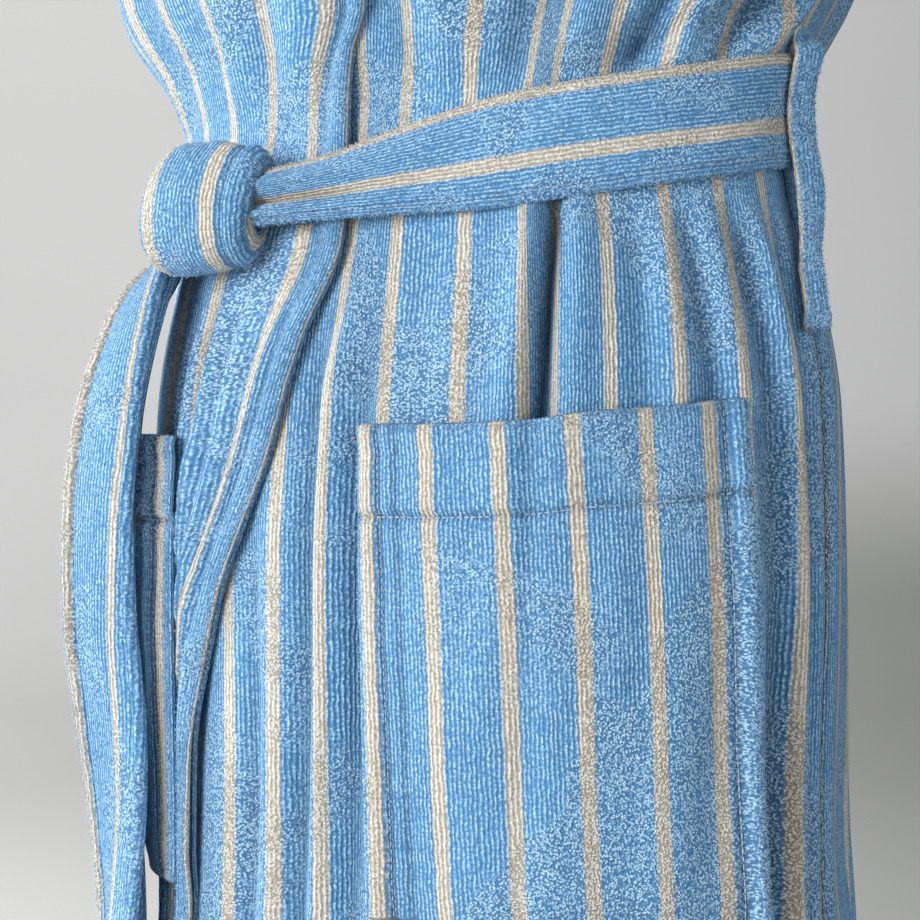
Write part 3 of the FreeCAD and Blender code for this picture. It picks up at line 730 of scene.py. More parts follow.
# ---- pockets ------------------------------------------------------------------------------
def pocket(name, node, left, right, top, base_lift, stripes, skew, nap=None, ridge=3.4):
    """A patch pocket: left and right are its side bearings as (top, bottom), top its mouth's
    heights along it. It has a doubled hem at the mouth and is stitched on at the other sides."""
    s = np.linspace(0, 1, 116)[:, None]
    up = np.linspace(0, 1, 132)[None, :]
    first = left[0] * up + left[1] * (1 - up)
    last = right[0] * up + right[1] * (1 - up)
    t = first + (last - first) * s
    mouth = curve(s, [(i / (len(top) - 1), z) for i, z in enumerate(top)])
    bottom = POCKET_TOP - POCKET_HEIGHT + 1.5
    z = bottom + (mouth - bottom) * up
    width = (last - first) * 3.0
    from_side = np.minimum(s, 1 - s) * width
    below_mouth = mouth - z
    held = ease(from_side, 0, 12) * ease(z - bottom, 0, 14)
    bulge = 6.0 * np.sin(np.pi * s) ** 0.9 * (0.25 + 0.75 * up) * held
    lift = base_lift(t, z) + 4.4 + 1.2 * held + bulge
    lift = lift + 1.5 * (1 - ease(below_mouth, 36, 40)) - 1.5 * bump(below_mouth, 40, 1.8)
    lift = lift + 1.2 * bump(below_mouth, 4, 5) - 0.7 * bump(below_mouth, 13, 1.8) * (s < 0.5)
    lift = lift + 1.9 * bump(from_side, 5, 4) - 1.6 * bump(from_side, 11, 1.8)
    lift = lift - 1.0 * bump(s * width, 19, 2.0) + ridge * bump((1 - s) * width, 4, 5.5)
    lift = lift + held * (0.9 * ripple(t / 8, z / 45, 21) + 0.5 * ripple(t / 3, z / 22, 22))
    across = np.interp(s + skew * (1 - up), [p for p, k in stripes], [k for p, k in stripes])
    points = place(t, z, lift)
    # painted shade in the pocket's fold hollows and along its stitched grooves
    groove_shade = (0.9 * bump(from_side, 11, 1.6) + 0.7 * bump(below_mouth, 40, 1.4)
                 + 0.5 * bump(s * width, 19, 1.8))
    cloth = cloth_grid(across, z, crease_depth(lift) * 0.7 + groove_shade)
    piece = sheet_mesh(name, points, cloth, TERRY_POCKET)
    edges = (bump(below_mouth, 0, 3.5) + 1.3 * bump((1 - s) * width, 0, 6)
             + 0.3 * bump(s * width, 2, 4))
    edges = (edges + 0.22 * (1 - ease(below_mouth, 34, 42)) * ease(s, 0.3, 0.5)
             + 0.16 * bump(below_mouth, 46, 9))
    fuzz(name + "_fuzz", points, cloth, edges, 5200, 1.5, "robe", seed=5)
    if nap is not None:
        set_nap(piece, nap(s, up), points.shape[:2])
    fit_out(piece, "robe", [node])
    hem = np.linspace(0.03, 0.97, 120)
    hem_t = np.interp(hem, s[:, 0], t[:, -1])
    hem_z = curve(hem, [(i / (len(top) - 1), zz) for i, zz in enumerate(top)]) - 40
    row = np.abs(z - (mouth - 40)).argmin(axis=1)
    hem_lift = np.interp(hem, s[:, 0], lift[np.arange(len(row)), row])
    stitch_line(name + "_hem_stitches", place(hem_t, hem_z, hem_lift + 0.3), 3.4, "robe")
    for tag, share in (("front", lambda w: 11.0 / w), ("rear", lambda w: 1 - 11.0 / w)):
        f = share(width[0])
        line_t = first[0] + (last[0] - first[0]) * f
        column = np.clip((f * (len(s) - 1)).round().astype(int), 0, len(s) - 1)
        line_z = z[column, np.arange(z.shape[1])]
        line_lift = lift[column, np.arange(z.shape[1])]
        stitch_line(f"{name}_{tag}_stitches", place(line_t, line_z, line_lift + 0.3), 3.4, "robe")
    return piece


def set_nap(piece, values, shape):
    """Where the pile stands (above 0) or lies flat (below 0), on both faces of a sheet."""
    values = np.broadcast_to(values, shape).ravel()
    total = len(piece.data.vertices)
    full = np.zeros(total, np.float32)
    full[:values.size] = values
    full[values.size:2 * values.size] = values
    layer = piece.data.attributes.new("nap", "FLOAT", "POINT")
    layer.data.foreach_set("value", full)


def stitch_line(name, line, pitch, body, radius=0.34, material=None):
    """A row of short stitches along a line of points (metres); pitch in mm."""
    line = np.asarray(line, float)
    steps = np.linalg.norm(np.diff(line, axis=0), axis=1)
    along = np.concatenate([[0], np.cumsum(steps)]) * 1000
    count = int(along[-1] // pitch)
    points, faces = [], []
    for i in range(count):
        a, b = (i + 0.12) * pitch, (i + 0.80) * pitch
        ends = [np.array([np.interp(x, along, line[:, k]) for k in range(3)]) for x in (a, b)]
        axis = ends[1] - ends[0]
        axis /= max(np.linalg.norm(axis), 1e-9)
        side_way = np.cross(axis, (0.3, 0.2, 0.93))
        side_way /= max(np.linalg.norm(side_way), 1e-9)
        third = np.cross(axis, side_way)
        start = len(points)
        for end, grow in ((ends[0] - axis * 2e-4, 0.35), (ends[0] * 0.75 + ends[1] * 0.25, 1.0),
                          (ends[0] * 0.25 + ends[1] * 0.75, 1.0), (ends[1] + axis * 2e-4, 0.35)):
            for k in range(5):
                angle = 2 * math.pi * k / 5
                points.append(end + (side_way * math.cos(angle) + third * math.sin(angle))
                              * radius * grow / 1000)
        for ring in range(3):
            for k in range(5):
                p, q = start + 5 * ring + k, start + 5 * ring + (k + 1) % 5
                faces.append((p, q, q + 5, p + 5))
        faces.append(tuple(start + k for k in (4, 3, 2, 1, 0)))
        faces.append(tuple(start + 15 + k for k in range(5)))
    piece = new_object(name, np.array(points), faces, material or THREAD)
    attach(piece, body)
    return piece


def under_surface(t, z):
    return folds(t, z)


def under_pocket(t, z):
    """What the left pocket lies on: the folds' damped part, without the pleat at its mouth."""
    return folds(t, np.minimum(z, -602.0))


def over_pocket(t, z):
    """What the right pocket lies on: the outer front without its gathers."""
    return over_lift(t, z) + 2.0 + bump(t, -58, 26) * curve(z, SLIM)


def standing_corner(s, up):
    """On the left pocket the pile stands in the corner below a slanting line."""
    return 0.6 * ease(s - up * 0.95 + 0.06 * ripple(s * 9, up * 9, 31), 0.16, 0.24) - 0.12


def build_pockets():
    pocket("pocket_left_cloth", "pocket_left", (12.3, 14.6), (67.0, 71.5),
           (-570, -570, -569, -565, -562.5, -559),
           under_pocket,
           [(-0.15, -1), (0.035, 0), (0.195, 1), (0.375, 2), (0.55, 3), (0.725, 4), (0.885, 5),
            (1.1, 6)],
           0.0, standing_corner)
    pocket("pocket_right_cloth", "pocket_right", (-77.5, -77.5), (-22.5, -22.5),
           (-572, -572, -573, -574),
           over_pocket,
           [(-0.1, -1), (0.08, 0), (0.26, 1), (0.44, 2), (0.62, 3), (0.80, 4), (0.96, 5), (1.1, 6)],
           0.0, ridge=-2.6)


# ---- belt ---------------------------------------------------------------------------------
def belt_under(t):
    """Where the belt's inner face runs, as in the CAD source."""
    t = np.where(t > 180, t - 360, t)
    return 2 * AIR + (OVER_LIFT + 0.4) * ease(t, -98, -79) * (1 - ease(t, 9, 26))


def build_belt():
    t = np.arange(KNOT_BEARING + 3.0, KNOT_BEARING + 357.0, 0.75)[:, None]
    v = np.linspace(-1, 1, 41)[None, :]
    right_of_knot = t - KNOT_BEARING
    left_of_knot = KNOT_BEARING + 360 - t
    near = np.minimum(right_of_knot, left_of_knot)
    half = (BELT_WIDTH / 2
            * (1.02 - 0.50 * (1 - ease(near, 10, 50)) - 0.14 * (1 - ease(near, 3, 14))))
    centre = belt_z(t) - 2.0 * bump(right_of_knot, 16, 12)
    z = centre + half * v
    pinch = 1 - ease(near, 12, 40)
    lift = belt_under(t) + BELT_THICK + 1.4 * (1 - v ** 4) - 3.0 * np.abs(v) ** 9
    # stitched along both edges
    lift = (lift - 1.1 * bump(v, 0.80, 0.035) - 0.9 * bump(v, -0.80, 0.04)
            - 0.5 * bump(v, -0.60, 0.05))
    lift = lift + 0.7 * bump(v, 0.92, 0.07)
    # it bunches into two lobes beside the knot
    valley = -0.16 - 0.10 * ease(right_of_knot, 8, 26)
    lift = (lift + pinch * (6.0 * bump(v, 0.42, 0.42) + 4.0 * bump(v, -0.62, 0.30)
                            - 4.5 * bump(v, valley, 0.13)))
    lift = lift - 2.2 * pinch * (bump(v, -0.42, 0.06) + bump(v, -0.80, 0.06))
    lift = lift + 15.0 * (1 - ease(near, 3, 27))
    lift = lift + (1 - pinch) * (0.8 * ripple(t / 11, v * 1.2, 41) + 0.5 * ripple(t / 5, v * 3, 42))
    along = np.cumsum(np.full(t.shape[0], 0.75 * 2.75))[:, None]
    across = (0.94 - v) / 1.20 + 0.08 * pinch * bump(v, -0.2, 0.3)
    # painted shade in the valley where the belt bunches beside the knot and along its stitched
    # grooves
    dark = (0.9 * pinch * bump(v, valley, 0.10) + 0.55 * bump(v, 0.80, 0.03)
            + 0.5 * bump(v, -0.80, 0.035))
    points, cloth = place(t, z, lift), cloth_grid(across, along, dark)
    piece = sheet_mesh("belt_band_cloth", points, cloth, TERRY_BELT, thickness=BELT_THICK - 0.6)
    seen = ((right_of_knot < 112)
            * (bump(v, 1, 0.10) + bump(v, -1, 0.12) + 0.25 * bump(v, -0.7, 0.2) + 0.03))
    fuzz("belt_band_fuzz", points, cloth, seen, 4200, 1.3, "robe", seed=6)
    fit_out(piece, "robe", ["belt_band"])
    for tag, level in (("top", 0.80), ("bottom", -0.80)):
        j = int(np.abs(v[0] - level).argmin())
        line = place(t, z, lift + 0.25)[12:-12, j]
        stitch_line(f"belt_{tag}_stitches", line, 3.2, "robe", radius=0.3)


KNOT_Z = float(belt_z(KNOT_BEARING)) - 1.0
KNOT_TURN = 24.0           # degrees that the knot's wrap is turned from the belt's line


def knot_frame():
    centre = place(KNOT_BEARING + 2.8, KNOT_Z, OVER_LIFT + 22.0)
    along = place(KNOT_BEARING + 1, KNOT_Z) - place(KNOT_BEARING - 1, KNOT_Z)
    along /= np.linalg.norm(along)
    turn = math.radians(KNOT_TURN)
    along = np.array((along[0] * math.cos(turn) - along[1] * math.sin(turn),
                      along[0] * math.sin(turn) + along[1] * math.cos(turn), 0.0))
    up = np.array((0, 0, 1.0))
    out = np.cross(along, up)
    return centre, along, out, up


def knot_wrap(name, half_width, deep, tall, across, lean=0.0, thick=5.0, pinch=0.10):
    """A strip wrapped once round the belt, with its join at the back of the knot."""
    centre, along, out, up = knot_frame()
    a = (np.pi + np.linspace(0.02, 2 * np.pi - 0.02, 92))[:, None]
    w = np.linspace(-1, 1, 41)[None, :]
    swell = 1 - pinch * w ** 2 - 0.22 * np.abs(w) ** 8 - 0.07 * w
    swell = swell - 0.05 * bump(w, 0.58, 0.06) + 0.035 * bump(w, 0.80, 0.16)
    swell = swell + 0.022 * ripple(a * 2.2, w * 2.5, 51) + 0.012 * ripple(a * 6, w * 6, 52)
    flat_back = 1 - 0.10 * ease(-np.cos(a), 0.3, 1.0)
    r_out, r_up = deep * swell * flat_back * np.cos(a), tall * swell * np.sin(a)
    shift = half_width * w * (1 + 0.06 * np.cos(a)) + lean * np.sin(a) + 2.0 * np.sin(a) * w ** 2
    points = (centre
              + (along * shift[..., None] + out * r_out[..., None] + up * r_up[..., None]) / 1000)
    girth = (a - np.pi) * (deep + tall) / 2
    # painted shade in the groove near one edge of the wrap and darkening towards that edge
    cloth = cloth_grid(across(w), girth, 0.6 * bump(w, 0.58, 0.05) + 0.8 * ease(w, 0.86, 1.0))
    piece = sheet_mesh(name, points, cloth, TERRY_BELT, thickness=thick, flip=True)
    fuzz(name + "_fuzz", points, cloth, 0.25 + bump(w, 1, 0.1) + bump(w, -1, 0.1), 1500, 1.1,
         "robe",
         flip=True, seed=8)
    return piece


def build_knot():
    wrap = knot_wrap("knot_wrap", 27.5, 22.0, 30.5, lambda w: (w + 0.77) / 1.12, lean=3.0)
    fit_out(wrap, "robe", ["belt_knot"])
    core = knot_wrap("knot_core", 26.0, 15.5, 22.0, lambda w: (w + 0.2) / 1.12, lean=-2.0,
                     thick=6.0, pinch=0.02)
    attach(core, "robe")


# Each tail: points down its middle (mm), the bearing its face looks towards, its half width.
FRONT_TAIL = [
    (-80, -141, -470, -52, 15), (-90, -148, -487, -42, 18), (-100, -154, -503, -26, 21),
    (-108, -160, -530, -12, 22), (-114, -166, -570, -4, 22.5), (-116, -169, -614, -2, 22.5),
    (-115, -168, -662, 0, 22.5), (-112, -164, -710, -4, 23.5), (-111, -161, -758, -16, 24.5),
    (-111.5, -160, -806, -27, 23.5), (-112, -161, -860, -30, 22.5), (-111.5, -161, -915, -30, 22.5),
]
BACK_TAIL = [
    (-92, -131, -474, -48, 14), (-100, -132, -490, -40, 18), (-108, -134, -505, -34, 21),
    (-118, -139, -530, -24, 21.5), (-129, -144, -570, -16, 21.5), (-134, -146, -614, -11, 21.5),
    (-134, -146, -662, -11, 22), (-132, -144, -710, -13, 23), (-134, -139, -758, -18, 24),
    (-138, -131, -806, -24, 25), (-145, -126, -870, -28, 25),
]


def build_tail(name, node, body, hinge, route, seed, curl, stripe_line):
    count = len(route)
    s = np.linspace(0, 1, 150)[None, :]
    v = np.linspace(-1, 1, 35)[:, None]
    x, y, z, face, half = (curve(s, [(i / (count - 1),
                                      p[k]) for i, p in enumerate(route)]) for k in range(5))
    face = np.radians(face)
    across = np.stack([np.cos(face), np.sin(face), 0 * face], -1)
    out = np.stack([np.sin(face), -np.cos(face), 0 * face], -1)
    middle = np.stack([x, y, z], -1)
    # it curls across its width, and one edge turns over
    cup = curl[0] * v ** 2 + curl[1] * v * np.abs(v)
    relief = cup + 0.9 * (1 - v ** 4) - 1.0 * bump(v, 0.80, 0.04) + 2.6 * bump(v, -0.86, 0.13)
    relief = relief - 1.8 * bump(v, -0.66, 0.05) + 1.4 * bump(v, 0.90, 0.10)
    relief = relief + 1.6 * ripple(v * 1.6, s * 7, seed) * ease(s, 0.05, 0.2) - 1.6 * np.abs(v) ** 9
    relief = relief - 2.5 * bump(v, -0.1, 0.12) * (1 - ease(s, 0.08, 0.3))
    points = middle + across * (half * v)[..., None] + out * relief[..., None]
    along = s * sum(math.dist(a[:3], b[:3]) for a, b in zip(route, route[1:]))
    second = curve(s, stripe_line)
    stripes = np.where(v < second, (v + 0.78) / (second + 0.78), 1 + (v - second) / 1.5)
    # painted shade along the tail's two grooves
    dark = 0.6 * bump(v, 0.80, 0.035) + 0.8 * bump(v, -0.66, 0.04)
    cloth = cloth_grid(stripes + 0 * s, along + 0 * v, dark + 0 * s)
    piece = sheet_mesh(name, points / 1000, cloth, TERRY_TAIL, thickness=BELT_THICK - 0.8,
                       flip=True)
    x, y, z = (value / 1000 for value in hinge)
    bends = ((x, y, z + 0.012), (x, y, z - 0.022))
    fit_out(piece, body, [node], bends=bends)
    fuzz(name + "_fuzz", points / 1000, cloth, 0.14 + bump(v, 1, 0.12) + bump(v, -1, 0.12) + 0 * s,
         3600, 1.5,
         body, bends=bends, flip=True, seed=seed)
    return piece


def build_tails():
    build_tail("tail_front_cloth", "belt_tail_front", "tail_front", (-101, -151, -501), FRONT_TAIL,
               61, (-1.2, -1.8),
               [(0, 0.80), (0.35, 0.78), (0.55, 0.50), (0.78, 0.12), (1, -0.12)])
    build_tail("tail_back_cloth", "belt_tail_back", "tail_back", (-108, -131, -503), BACK_TAIL, 62,
               (-1.0, 1.0), [(0, 0.60), (1, 0.50)])


# ---- belt loops ---------------------------------------------------------------------------
def build_loop(name, node, bearing, surface, seed, out_turn):
    """A strap sewn above the belt, passed over it and sewn below, with its end left hanging.
    Its rear edge stands off by twice out_turn mm."""
    middle = float(belt_z(bearing))
    s = np.linspace(0, 1, 120)[None, :]
    v = np.linspace(-1, 1, 17)[:, None]
    up = 35 - 133 * s
    below = ease(-up, 34, 60)
    z = middle + up
    turn = np.degrees(6.6 / outline(middle)[0])
    t = (bearing - 2.0 * ease(-up, 20, 95) + turn * (v * (1 - 0.12 * below))
         + 0.25 * ripple(s * 7, 0 * v, seed))
    arch = (BELT_THICK + 3.4) * ease(up, -72, -30) * (1 - ease(up, 24, 36))
    cloth_face = np.maximum(surface(t, z), -1.0)
    lift = cloth_face * ease(np.abs(up), 26, 40) + arch + 4.4 + 1.2 * (1 - v ** 2)
    lift = lift + out_turn * (v + 1) * (1 - 0.8 * ease(up, 26, 35))
    lift = (lift + below * (2.2 - 1.2 * v) * (1 - ease(s, 0.93, 1.0))
            + 0.5 * ripple(v * 3, s * 26, seed + 1))
    across = 0.32 + 0.20 * v
    points, cloth = place(t, z, lift), cloth_grid(across + 0 * s, -z + 0 * v, 0.0)
    piece = sheet_mesh(name, points, cloth, TERRY_BELT, thickness=3.4, flip=True)
    fuzz(name + "_fuzz", points, cloth,
         0.35 + bump(v, 1, 0.3) + bump(v, -1, 0.3) + bump(s, 1, 0.03), 2600, 1.7,
         "robe", flip=True, seed=seed)
    fit_out(piece, "robe", [node])


def build_loops():
    build_loop("loop_left_cloth", "belt_loop_left", SEAM_LEFT - 2.0, under_surface, 71, 3.4)
    build_loop("loop_right_cloth", "belt_loop_right", SEAM_RIGHT - 3.0,
               lambda t, z: folds(t + 360, z), 73, 0.8)


# ---- collar -------------------------------------------------------------------------------
def collar(name, node, edge_stations, outwards, low, lift_of, seed):
    clear = AIR + CLOTH / 2 + 1.2
    stand_height, roll = 24.0, 7.0
    along = np.linspace(0, 1, 150)[:, None]
    part = np.linspace(0, 1, 44)[None, :]
    rise = np.minimum(1.0, along / 0.64)
    behind = np.maximum(0.0, (along - 0.64) / 0.36)
    z = low + (NECK_Z - low) * rise
    bearing = curve(z, edge_stations) + outwards * (94 - SEAM_GAP) * behind
    width = 12 + 76 * ease(rise, 0.0, 0.55)
    stand = ease(rise, 0.72, 1.0)

    def lying(p):
        reach = outwards * np.degrees(width * p / outline(z)[0]) * (1 - stand)
        fall = (18 + 9 * stand + 43 * ease(behind, 0.1, 0.9)) * p
        swell = 5 * np.sin(np.pi * p)
        return (1000 * place(bearing + reach, z - fall,
                             lift_of(bearing + reach, z - fall) + clear + swell))

    base = 1000 * place(bearing, z, lift_of(bearing, z) + clear) + np.array((0, 0, 1.0))
    out = base * np.array((1, 1, 0.0))
    out /= np.linalg.norm(out, axis=-1, keepdims=True)
    up = np.array((0, 0, 1.0))
    rising = np.clip(part / 0.25, 0, 1)
    turn = np.pi * np.clip((part - 0.25) / 0.25, 0, 1)
    top = base + up * (stand_height * rising + roll * np.sin(turn))[..., None]
    top = top + out * (roll * (1 - np.cos(turn)))[..., None]
    foot = lying(np.ones_like(part))
    standing = top + (foot - top) * np.clip((part - 0.5) / 0.5, 0, 1)[..., None]
    points = lying(part) * (1 - stand)[..., None] + standing * stand[..., None]
    normal = grid_normals(points)
    relief = 1.3 * ripple(along * 9, part * 2.2, seed) * ease(part, 0.1, 0.5)
    relief = relief + 1.1 * bump(part, 0.97, 0.03) - 1.0 * bump(part, 0.90, 0.018)
    flip = outwards > 0
    points = points + normal * (relief * (-1 if flip else 1) + 0.0)[..., None]
    arc = np.concatenate([[0], np.cumsum(np.linalg.norm(np.diff(points[:, 22], axis=0),
                                                        axis=1))])[:, None]
    piece = sheet_mesh(name, points / 1000,
                       cloth_grid(part * width.max() / 34.0 + 0 * along, arc + 0 * part, 0.0),
                       TERRY_COLLAR, thickness=CLOTH, flip=flip)
    fit_out(piece, "robe", [node])


def build_collar():
    collar("collar_left_cloth", "collar_left", EDGE_UNDER, 1, -238.0, lambda t, z: 0.0 * t, 81)
    collar("collar_right_cloth", "collar_right", EDGE_OVER, -1, -318.0,
           lambda t, z: over_lift(t, z) + 3.0 * ease(-z, 200, 260), 82)


# ---- sleeves ------------------------------------------------------------------------------
def sleeve_rings(hand, along, a, lift):
    """Points of a sleeve: along it in mm, round it in radians, lifted off it in mm."""
    slope = math.radians(SLEEVE_DROP)
    tilt = slope * ease(along, 0.0, 190.0)
    radius_y = 66 + (ARM_RY - 66) * (1 - ease(along, 0, 300)) + lift
    radius_z = 80 + (ARM_RZ - 80) * (1 - ease(along, 0, 270)) + lift
    cx = ARM_X + 1.0 + along * math.cos(slope)
    cz = ARM_Z - along * math.sin(slope)
    y, w = radius_y * np.cos(a), radius_z * np.sin(a)
    return (np.stack(np.broadcast_arrays(hand * (cx + w * np.sin(tilt)), y, cz + w * np.cos(tilt)),
                     -1) / 1000)


def sleeve_folds(along, a, seed):
    """Slack rings near the elbow and long drag folds under the arm."""
    grow = ease(along, 15, 80)
    rings = (3.2 * np.sin(along / 17.0 + 1.3 * np.sin(a * 2 + seed)
                          + 2.0 * ripple(along / 90, a, seed)))
    rings = (rings * (0.35 + 0.65 * ease(np.sin(a + 0.6 * np.sin(seed)), -0.2, 0.9))
             * bump(along, 210, 110))
    long_folds = 3.0 * np.sin(3 * a + 0.006 * along + seed) * bump(along, 90, 120)
    return grow * (rings + long_folds + 1.6 * ripple(along / 40, a * 2.2, seed + 1))


def build_sleeve(hand, name):
    seam = -math.pi / 2
    a = (seam + np.linspace(0.006, 2 * math.pi - 0.006, 150))[:, None]
    along = np.linspace(0, SLEEVE_LENGTH, 116)[None, :]
    relief = sleeve_folds(along, a, 5 + hand)
    points = sleeve_rings(hand, along, a, relief)
    around = (a - seam) * SLEEVE_RADIUS / PITCH_MM
    body = f"sleeve_{name}"
    # painted shade in the hollows of the sleeve's folds
    piece = sheet_mesh(f"sleeve_{name}_cloth", points,
                       cloth_grid(around + 0.37 + 0 * along, along + 0 * a,
                                  np.clip(-relief / 6, 0, 1)),
                       TERRY, thickness=CLOTH, flip=hand < 0)
    fit_out(piece, body, [f"sleeve_{name}"],
            bends=((hand * 0.228, 0, ARM_Z / 1000), (hand * 0.32, 0, ARM_Z / 1000)))
    # the turned-back cuff
    v = np.linspace(0, 1, 46)[None, :]
    reach = SLEEVE_LENGTH - CUFF_LENGTH + (CUFF_LENGTH + 3) * v
    edge = CUFF_LENGTH * v
    fold = 4.2 + 3.0 + 1.8 * np.sin(np.pi * v) + 1.2 * ripple(a * 2.6, v * 3, 91 + hand)
    fold = fold + 1.0 * bump(edge, 4, 4) - 1.2 * bump(edge, 11, 2.2) - 2.4 * ease(v, 0.93, 1.0)
    fold = fold + sleeve_folds(reach, a, 5 + hand) * 0.6
    # painted shade in the cuff's stitched groove
    cuff = sheet_mesh(f"cuff_{name}_cloth", sleeve_rings(hand, reach, a, fold),
                      cloth_grid(around + 0.37 + 0 * v, reach + 0 * a,
                                 0.8 * bump(edge, 11, 2.2) + 0 * a), TERRY_COLLAR,
                      thickness=CLOTH, flip=hand < 0)
    fit_out(cuff, body, [f"cuff_{name}"])


# ---- facings, tapes and the hanging loop --------------------------------------------------
def strip(name, node, t, z, lift, material, thickness=2.0, across=None):
    piece = sheet_mesh(name, place(t, z, lift),
                       cloth_grid(across if across is not None else 0 * t, z, 0.0),
                       material, thickness=thickness)
    fit_out(piece, "robe", [node])


def build_trims():
    z = rows(HEM_Z + 3, -340, 8.0)
    # flare: how much wider the laid-out strip measures than its nominal width
    for name, edge, inwards, width, flare, lift_of in (
        ("left", EDGE_UNDER, 1, 38, 1.08,
         lambda t, zz: -4.0 * (1 - ease(t - curve(zz, EDGE_OVER), -6, 1))),
        ("right", EDGE_OVER, -1, 30, 1.50,
         lambda t, zz: over_lift(t, zz) + over_folds(t, zz, over_cloth(t, zz))),
    ):
        free = curve(z, edge)
        turn = inwards * np.degrees(width / outline(z)[1])
        s = np.linspace(0.05, 1, 14)[:, None]
        s = s if inwards > 0 else s[::-1]
        t = free[None, :] + turn[None, :] * s
        zz = np.broadcast_to(z[None, :], t.shape)
        lift = lift_of(t, zz) - CLOTH - AIR - 0.4
        strip(f"facing_{name}", f"front_facing_{name}", t, zz, lift, TERRY,
              across=0.5 + s * width / PITCH_MM * 0.6 + 0 * zz)
    for name, seam in (("left", SEAM_LEFT), ("right", SEAM_RIGHT)):
        z = rows(HEM_Z + 3, -402, 8.0)
        turn = np.degrees(11 / outline(z)[1])
        t = seam + turn[None, :] * np.linspace(-0.5, 0.5, 7)[:, None]
        zz = np.broadcast_to(z[None, :], t.shape)
        at = np.where(t < -90, t + 360, t)
        strip(f"seam_tape_{name}", f"side_seam_tape_{name}", t, zz,
              np.minimum(folds(at, zz), 0.0) - 3.2 - 2.6, TAPE)
    t = np.linspace(112, 248, 90)[:, None]
    z = np.linspace(-20, -5.5, 9)[None, :]
    strip("neck_tape_cloth", "neck_tape", t, z, -CLOTH - AIR - 0.3 + 0 * t * z, TAPE)


def build_hanging_loop():
    """A flat strap: down from the neck seam, across and back up."""
    half, drop, strap, thick = 30.0, 40.0, 10.0, 2.4
    y = float(outline(NECK_Z)[1]) - CLOTH - 2.0 - 2 * AIR - 4.5
    a = np.linspace(0, 1, 61)
    reach = half - strap / 2
    down = 16.0
    x = np.where(a < 0.2, -reach - strap / 2, np.where(a > 0.8, reach + strap / 2, 0))
    turn = np.pi * np.clip((a - 0.2) / 0.6, 0, 1)
    mid_x = -(reach + strap / 2) * np.cos(turn)
    mid_z = -8 - down - (drop - down - strap / 2) * np.sin(turn)
    mid_z = np.where(a < 0.2, -8 - down * a / 0.2,
                     np.where(a > 0.8, -8 - down * (1 - a) / 0.2, mid_z))
    mid_x = np.where((a < 0.2) | (a > 0.8), x, mid_x)
    line = np.stack([mid_x, np.full_like(a, y), mid_z], -1)
    tangent = np.gradient(line, axis=0)
    tangent /= np.linalg.norm(tangent, axis=1, keepdims=True)
    sideways = np.cross(tangent, (0, 1.0, 0))
    v = np.linspace(-1, 1, 9)
    points = line[:, None, :] + sideways[:, None, :] * (strap / 2 * v)[None, :, None]
    points = points + np.array((0, -0.35, 0)) * (1 - v ** 2)[None, :, None]
    piece = sheet_mesh("hanging_loop_cloth", points / 1000,
                       cloth_grid(0 * points[..., 0], points[..., 2], 0.0), TAPE,
                       thickness=thick, flip=False)
    fit_out(piece, "hanging_loop", ["hanging_loop"])


build_panels()
build_pockets()
build_belt()
build_knot()
build_tails()
build_loops()
build_collar()
for side_of_robe, side_name in ((1, "left"), (-1, "right")):
    build_sleeve(side_of_robe, side_name)
build_trims()
build_hanging_loop()


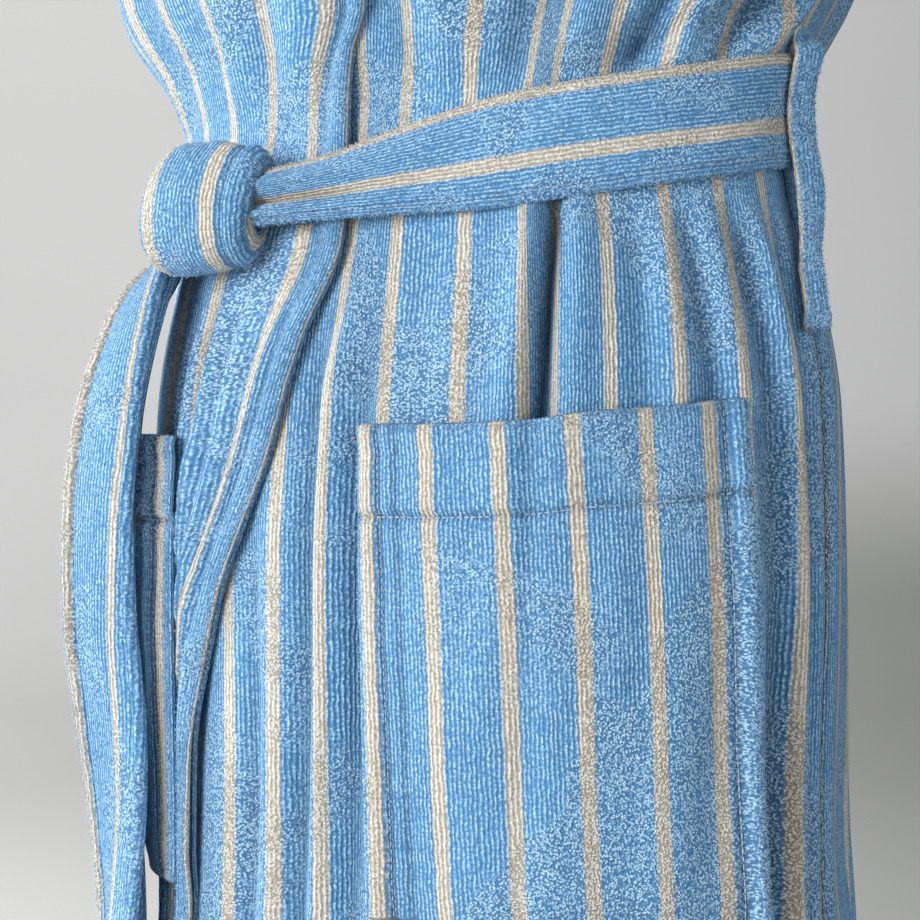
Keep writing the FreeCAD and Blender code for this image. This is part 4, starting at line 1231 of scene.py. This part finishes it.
# ---- light and stage ----------------------------------------------------------------------
def backdrop_material():
    """Pale, with painted shade: a little darker towards one side and near the floor, and much
    darker low down on that side.
    """
    m = Nodes("floor")
    spot = m.add("ShaderNodeTexCoord").outputs["Object"]
    xyz = m.add("ShaderNodeSeparateXYZ", links={0: spot}).outputs
    across = m.math("ADD", m.math("MULTIPLY", xyz[0], right_way[0]),
                    m.math("MULTIPLY", xyz[1], right_way[1]))
    # painted shade: darker towards the camera's right, near the floor, and most of all on the lower
    # wall and floor on that side
    side_way = m.step(across, -1.6, 1.7)
    low = m.math("MULTIPLY", m.step(m.math("MULTIPLY", xyz[2], -1.0), 0.35, 1.0), side_way)
    colour = m.mix(side_way, (0.52, 0.52, 0.51, 1), (0.50, 0.50, 0.495, 1))
    colour = m.mix(m.step(m.math("MULTIPLY", xyz[2], -1.0), 0.95, 1.2), colour,
                   (0.48, 0.48, 0.47, 1))
    colour = m.mix(low, colour, (0.22, 0.225, 0.205, 1))
    shader = m.add("ShaderNodeBsdfPrincipled", {"Roughness": 0.9}, {"Base Color": colour})
    m.add("ShaderNodeOutputMaterial", links={0: shader.outputs[0]})
    return m.material


def build_stage():
    """A pale floor that curves up behind the robe."""
    profile = [(-7.0, 0.0), (3.6, 0.0), (4.4, 0.05), (5.1, 0.25), (5.7, 0.8), (5.95, 1.6),
               (6.0, 2.6), (6.0, 8.0)]
    points, faces = [], []
    for along, up in profile:
        for across in (-8.0, 8.0):
            p = right_way * across - towards * along + Vector((0, 0, HEM_Z / 1000 - 0.04 + up))
            points.append(tuple(p))
    for i in range(len(profile) - 1):
        faces.append((2 * i, 2 * i + 1, 2 * i + 3, 2 * i + 2))
    floor = new_object("floor", points, faces, backdrop_material())


def area_light(name, location, target, size, power, colour=(1, 1, 1)):
    light = bpy.data.lights.new(name, "AREA")
    light.shape, light.size, light.energy, light.color = "SQUARE", size, power, colour
    lamp = bpy.data.objects.new(name, light)
    scene.collection.objects.link(lamp)
    lamp.location = location
    lamp.rotation_euler = (Vector(target) - Vector(location)).to_track_quat("-Z", "Y").to_euler()


build_stage()
middle = Vector((0, 0, -0.55))
area_light("key", middle - right_way * 2.1 + towards * 1.7 + Vector((0, 0, 0.35)), middle, 1.4, 128,
           (0.98, 0.99, 1.0))
area_light("side", middle - right_way * 2.7 - towards * 0.75 + Vector((0, 0, 0.5)), middle, 1.0, 95,
           (0.98, 0.99, 1.0))
area_light("fill", middle + right_way * 1.2 + towards * 2.5 + Vector((0, 0, -0.2)), middle, 2.0, 70,
           (0.97, 0.99, 1.0))
area_light("back", middle - right_way * 1.4 - towards * 1.5 + Vector((0, 0, 1.2)), middle, 1.6, 34)
area_light("wall", middle - right_way * 1.4 - towards * 2.0 + Vector((0, 0, 3.4)),
           middle - right_way * 1.4 - towards * 6.0 + Vector((0, 0, 0.5)), 3.0, 285)
world = bpy.data.worlds.new("world")
world.use_nodes = True
world.node_tree.nodes["Background"].inputs[0].default_value = (0.80, 0.82, 0.85, 1)
world.node_tree.nodes["Background"].inputs[1].default_value = 0.50
scene.world = world
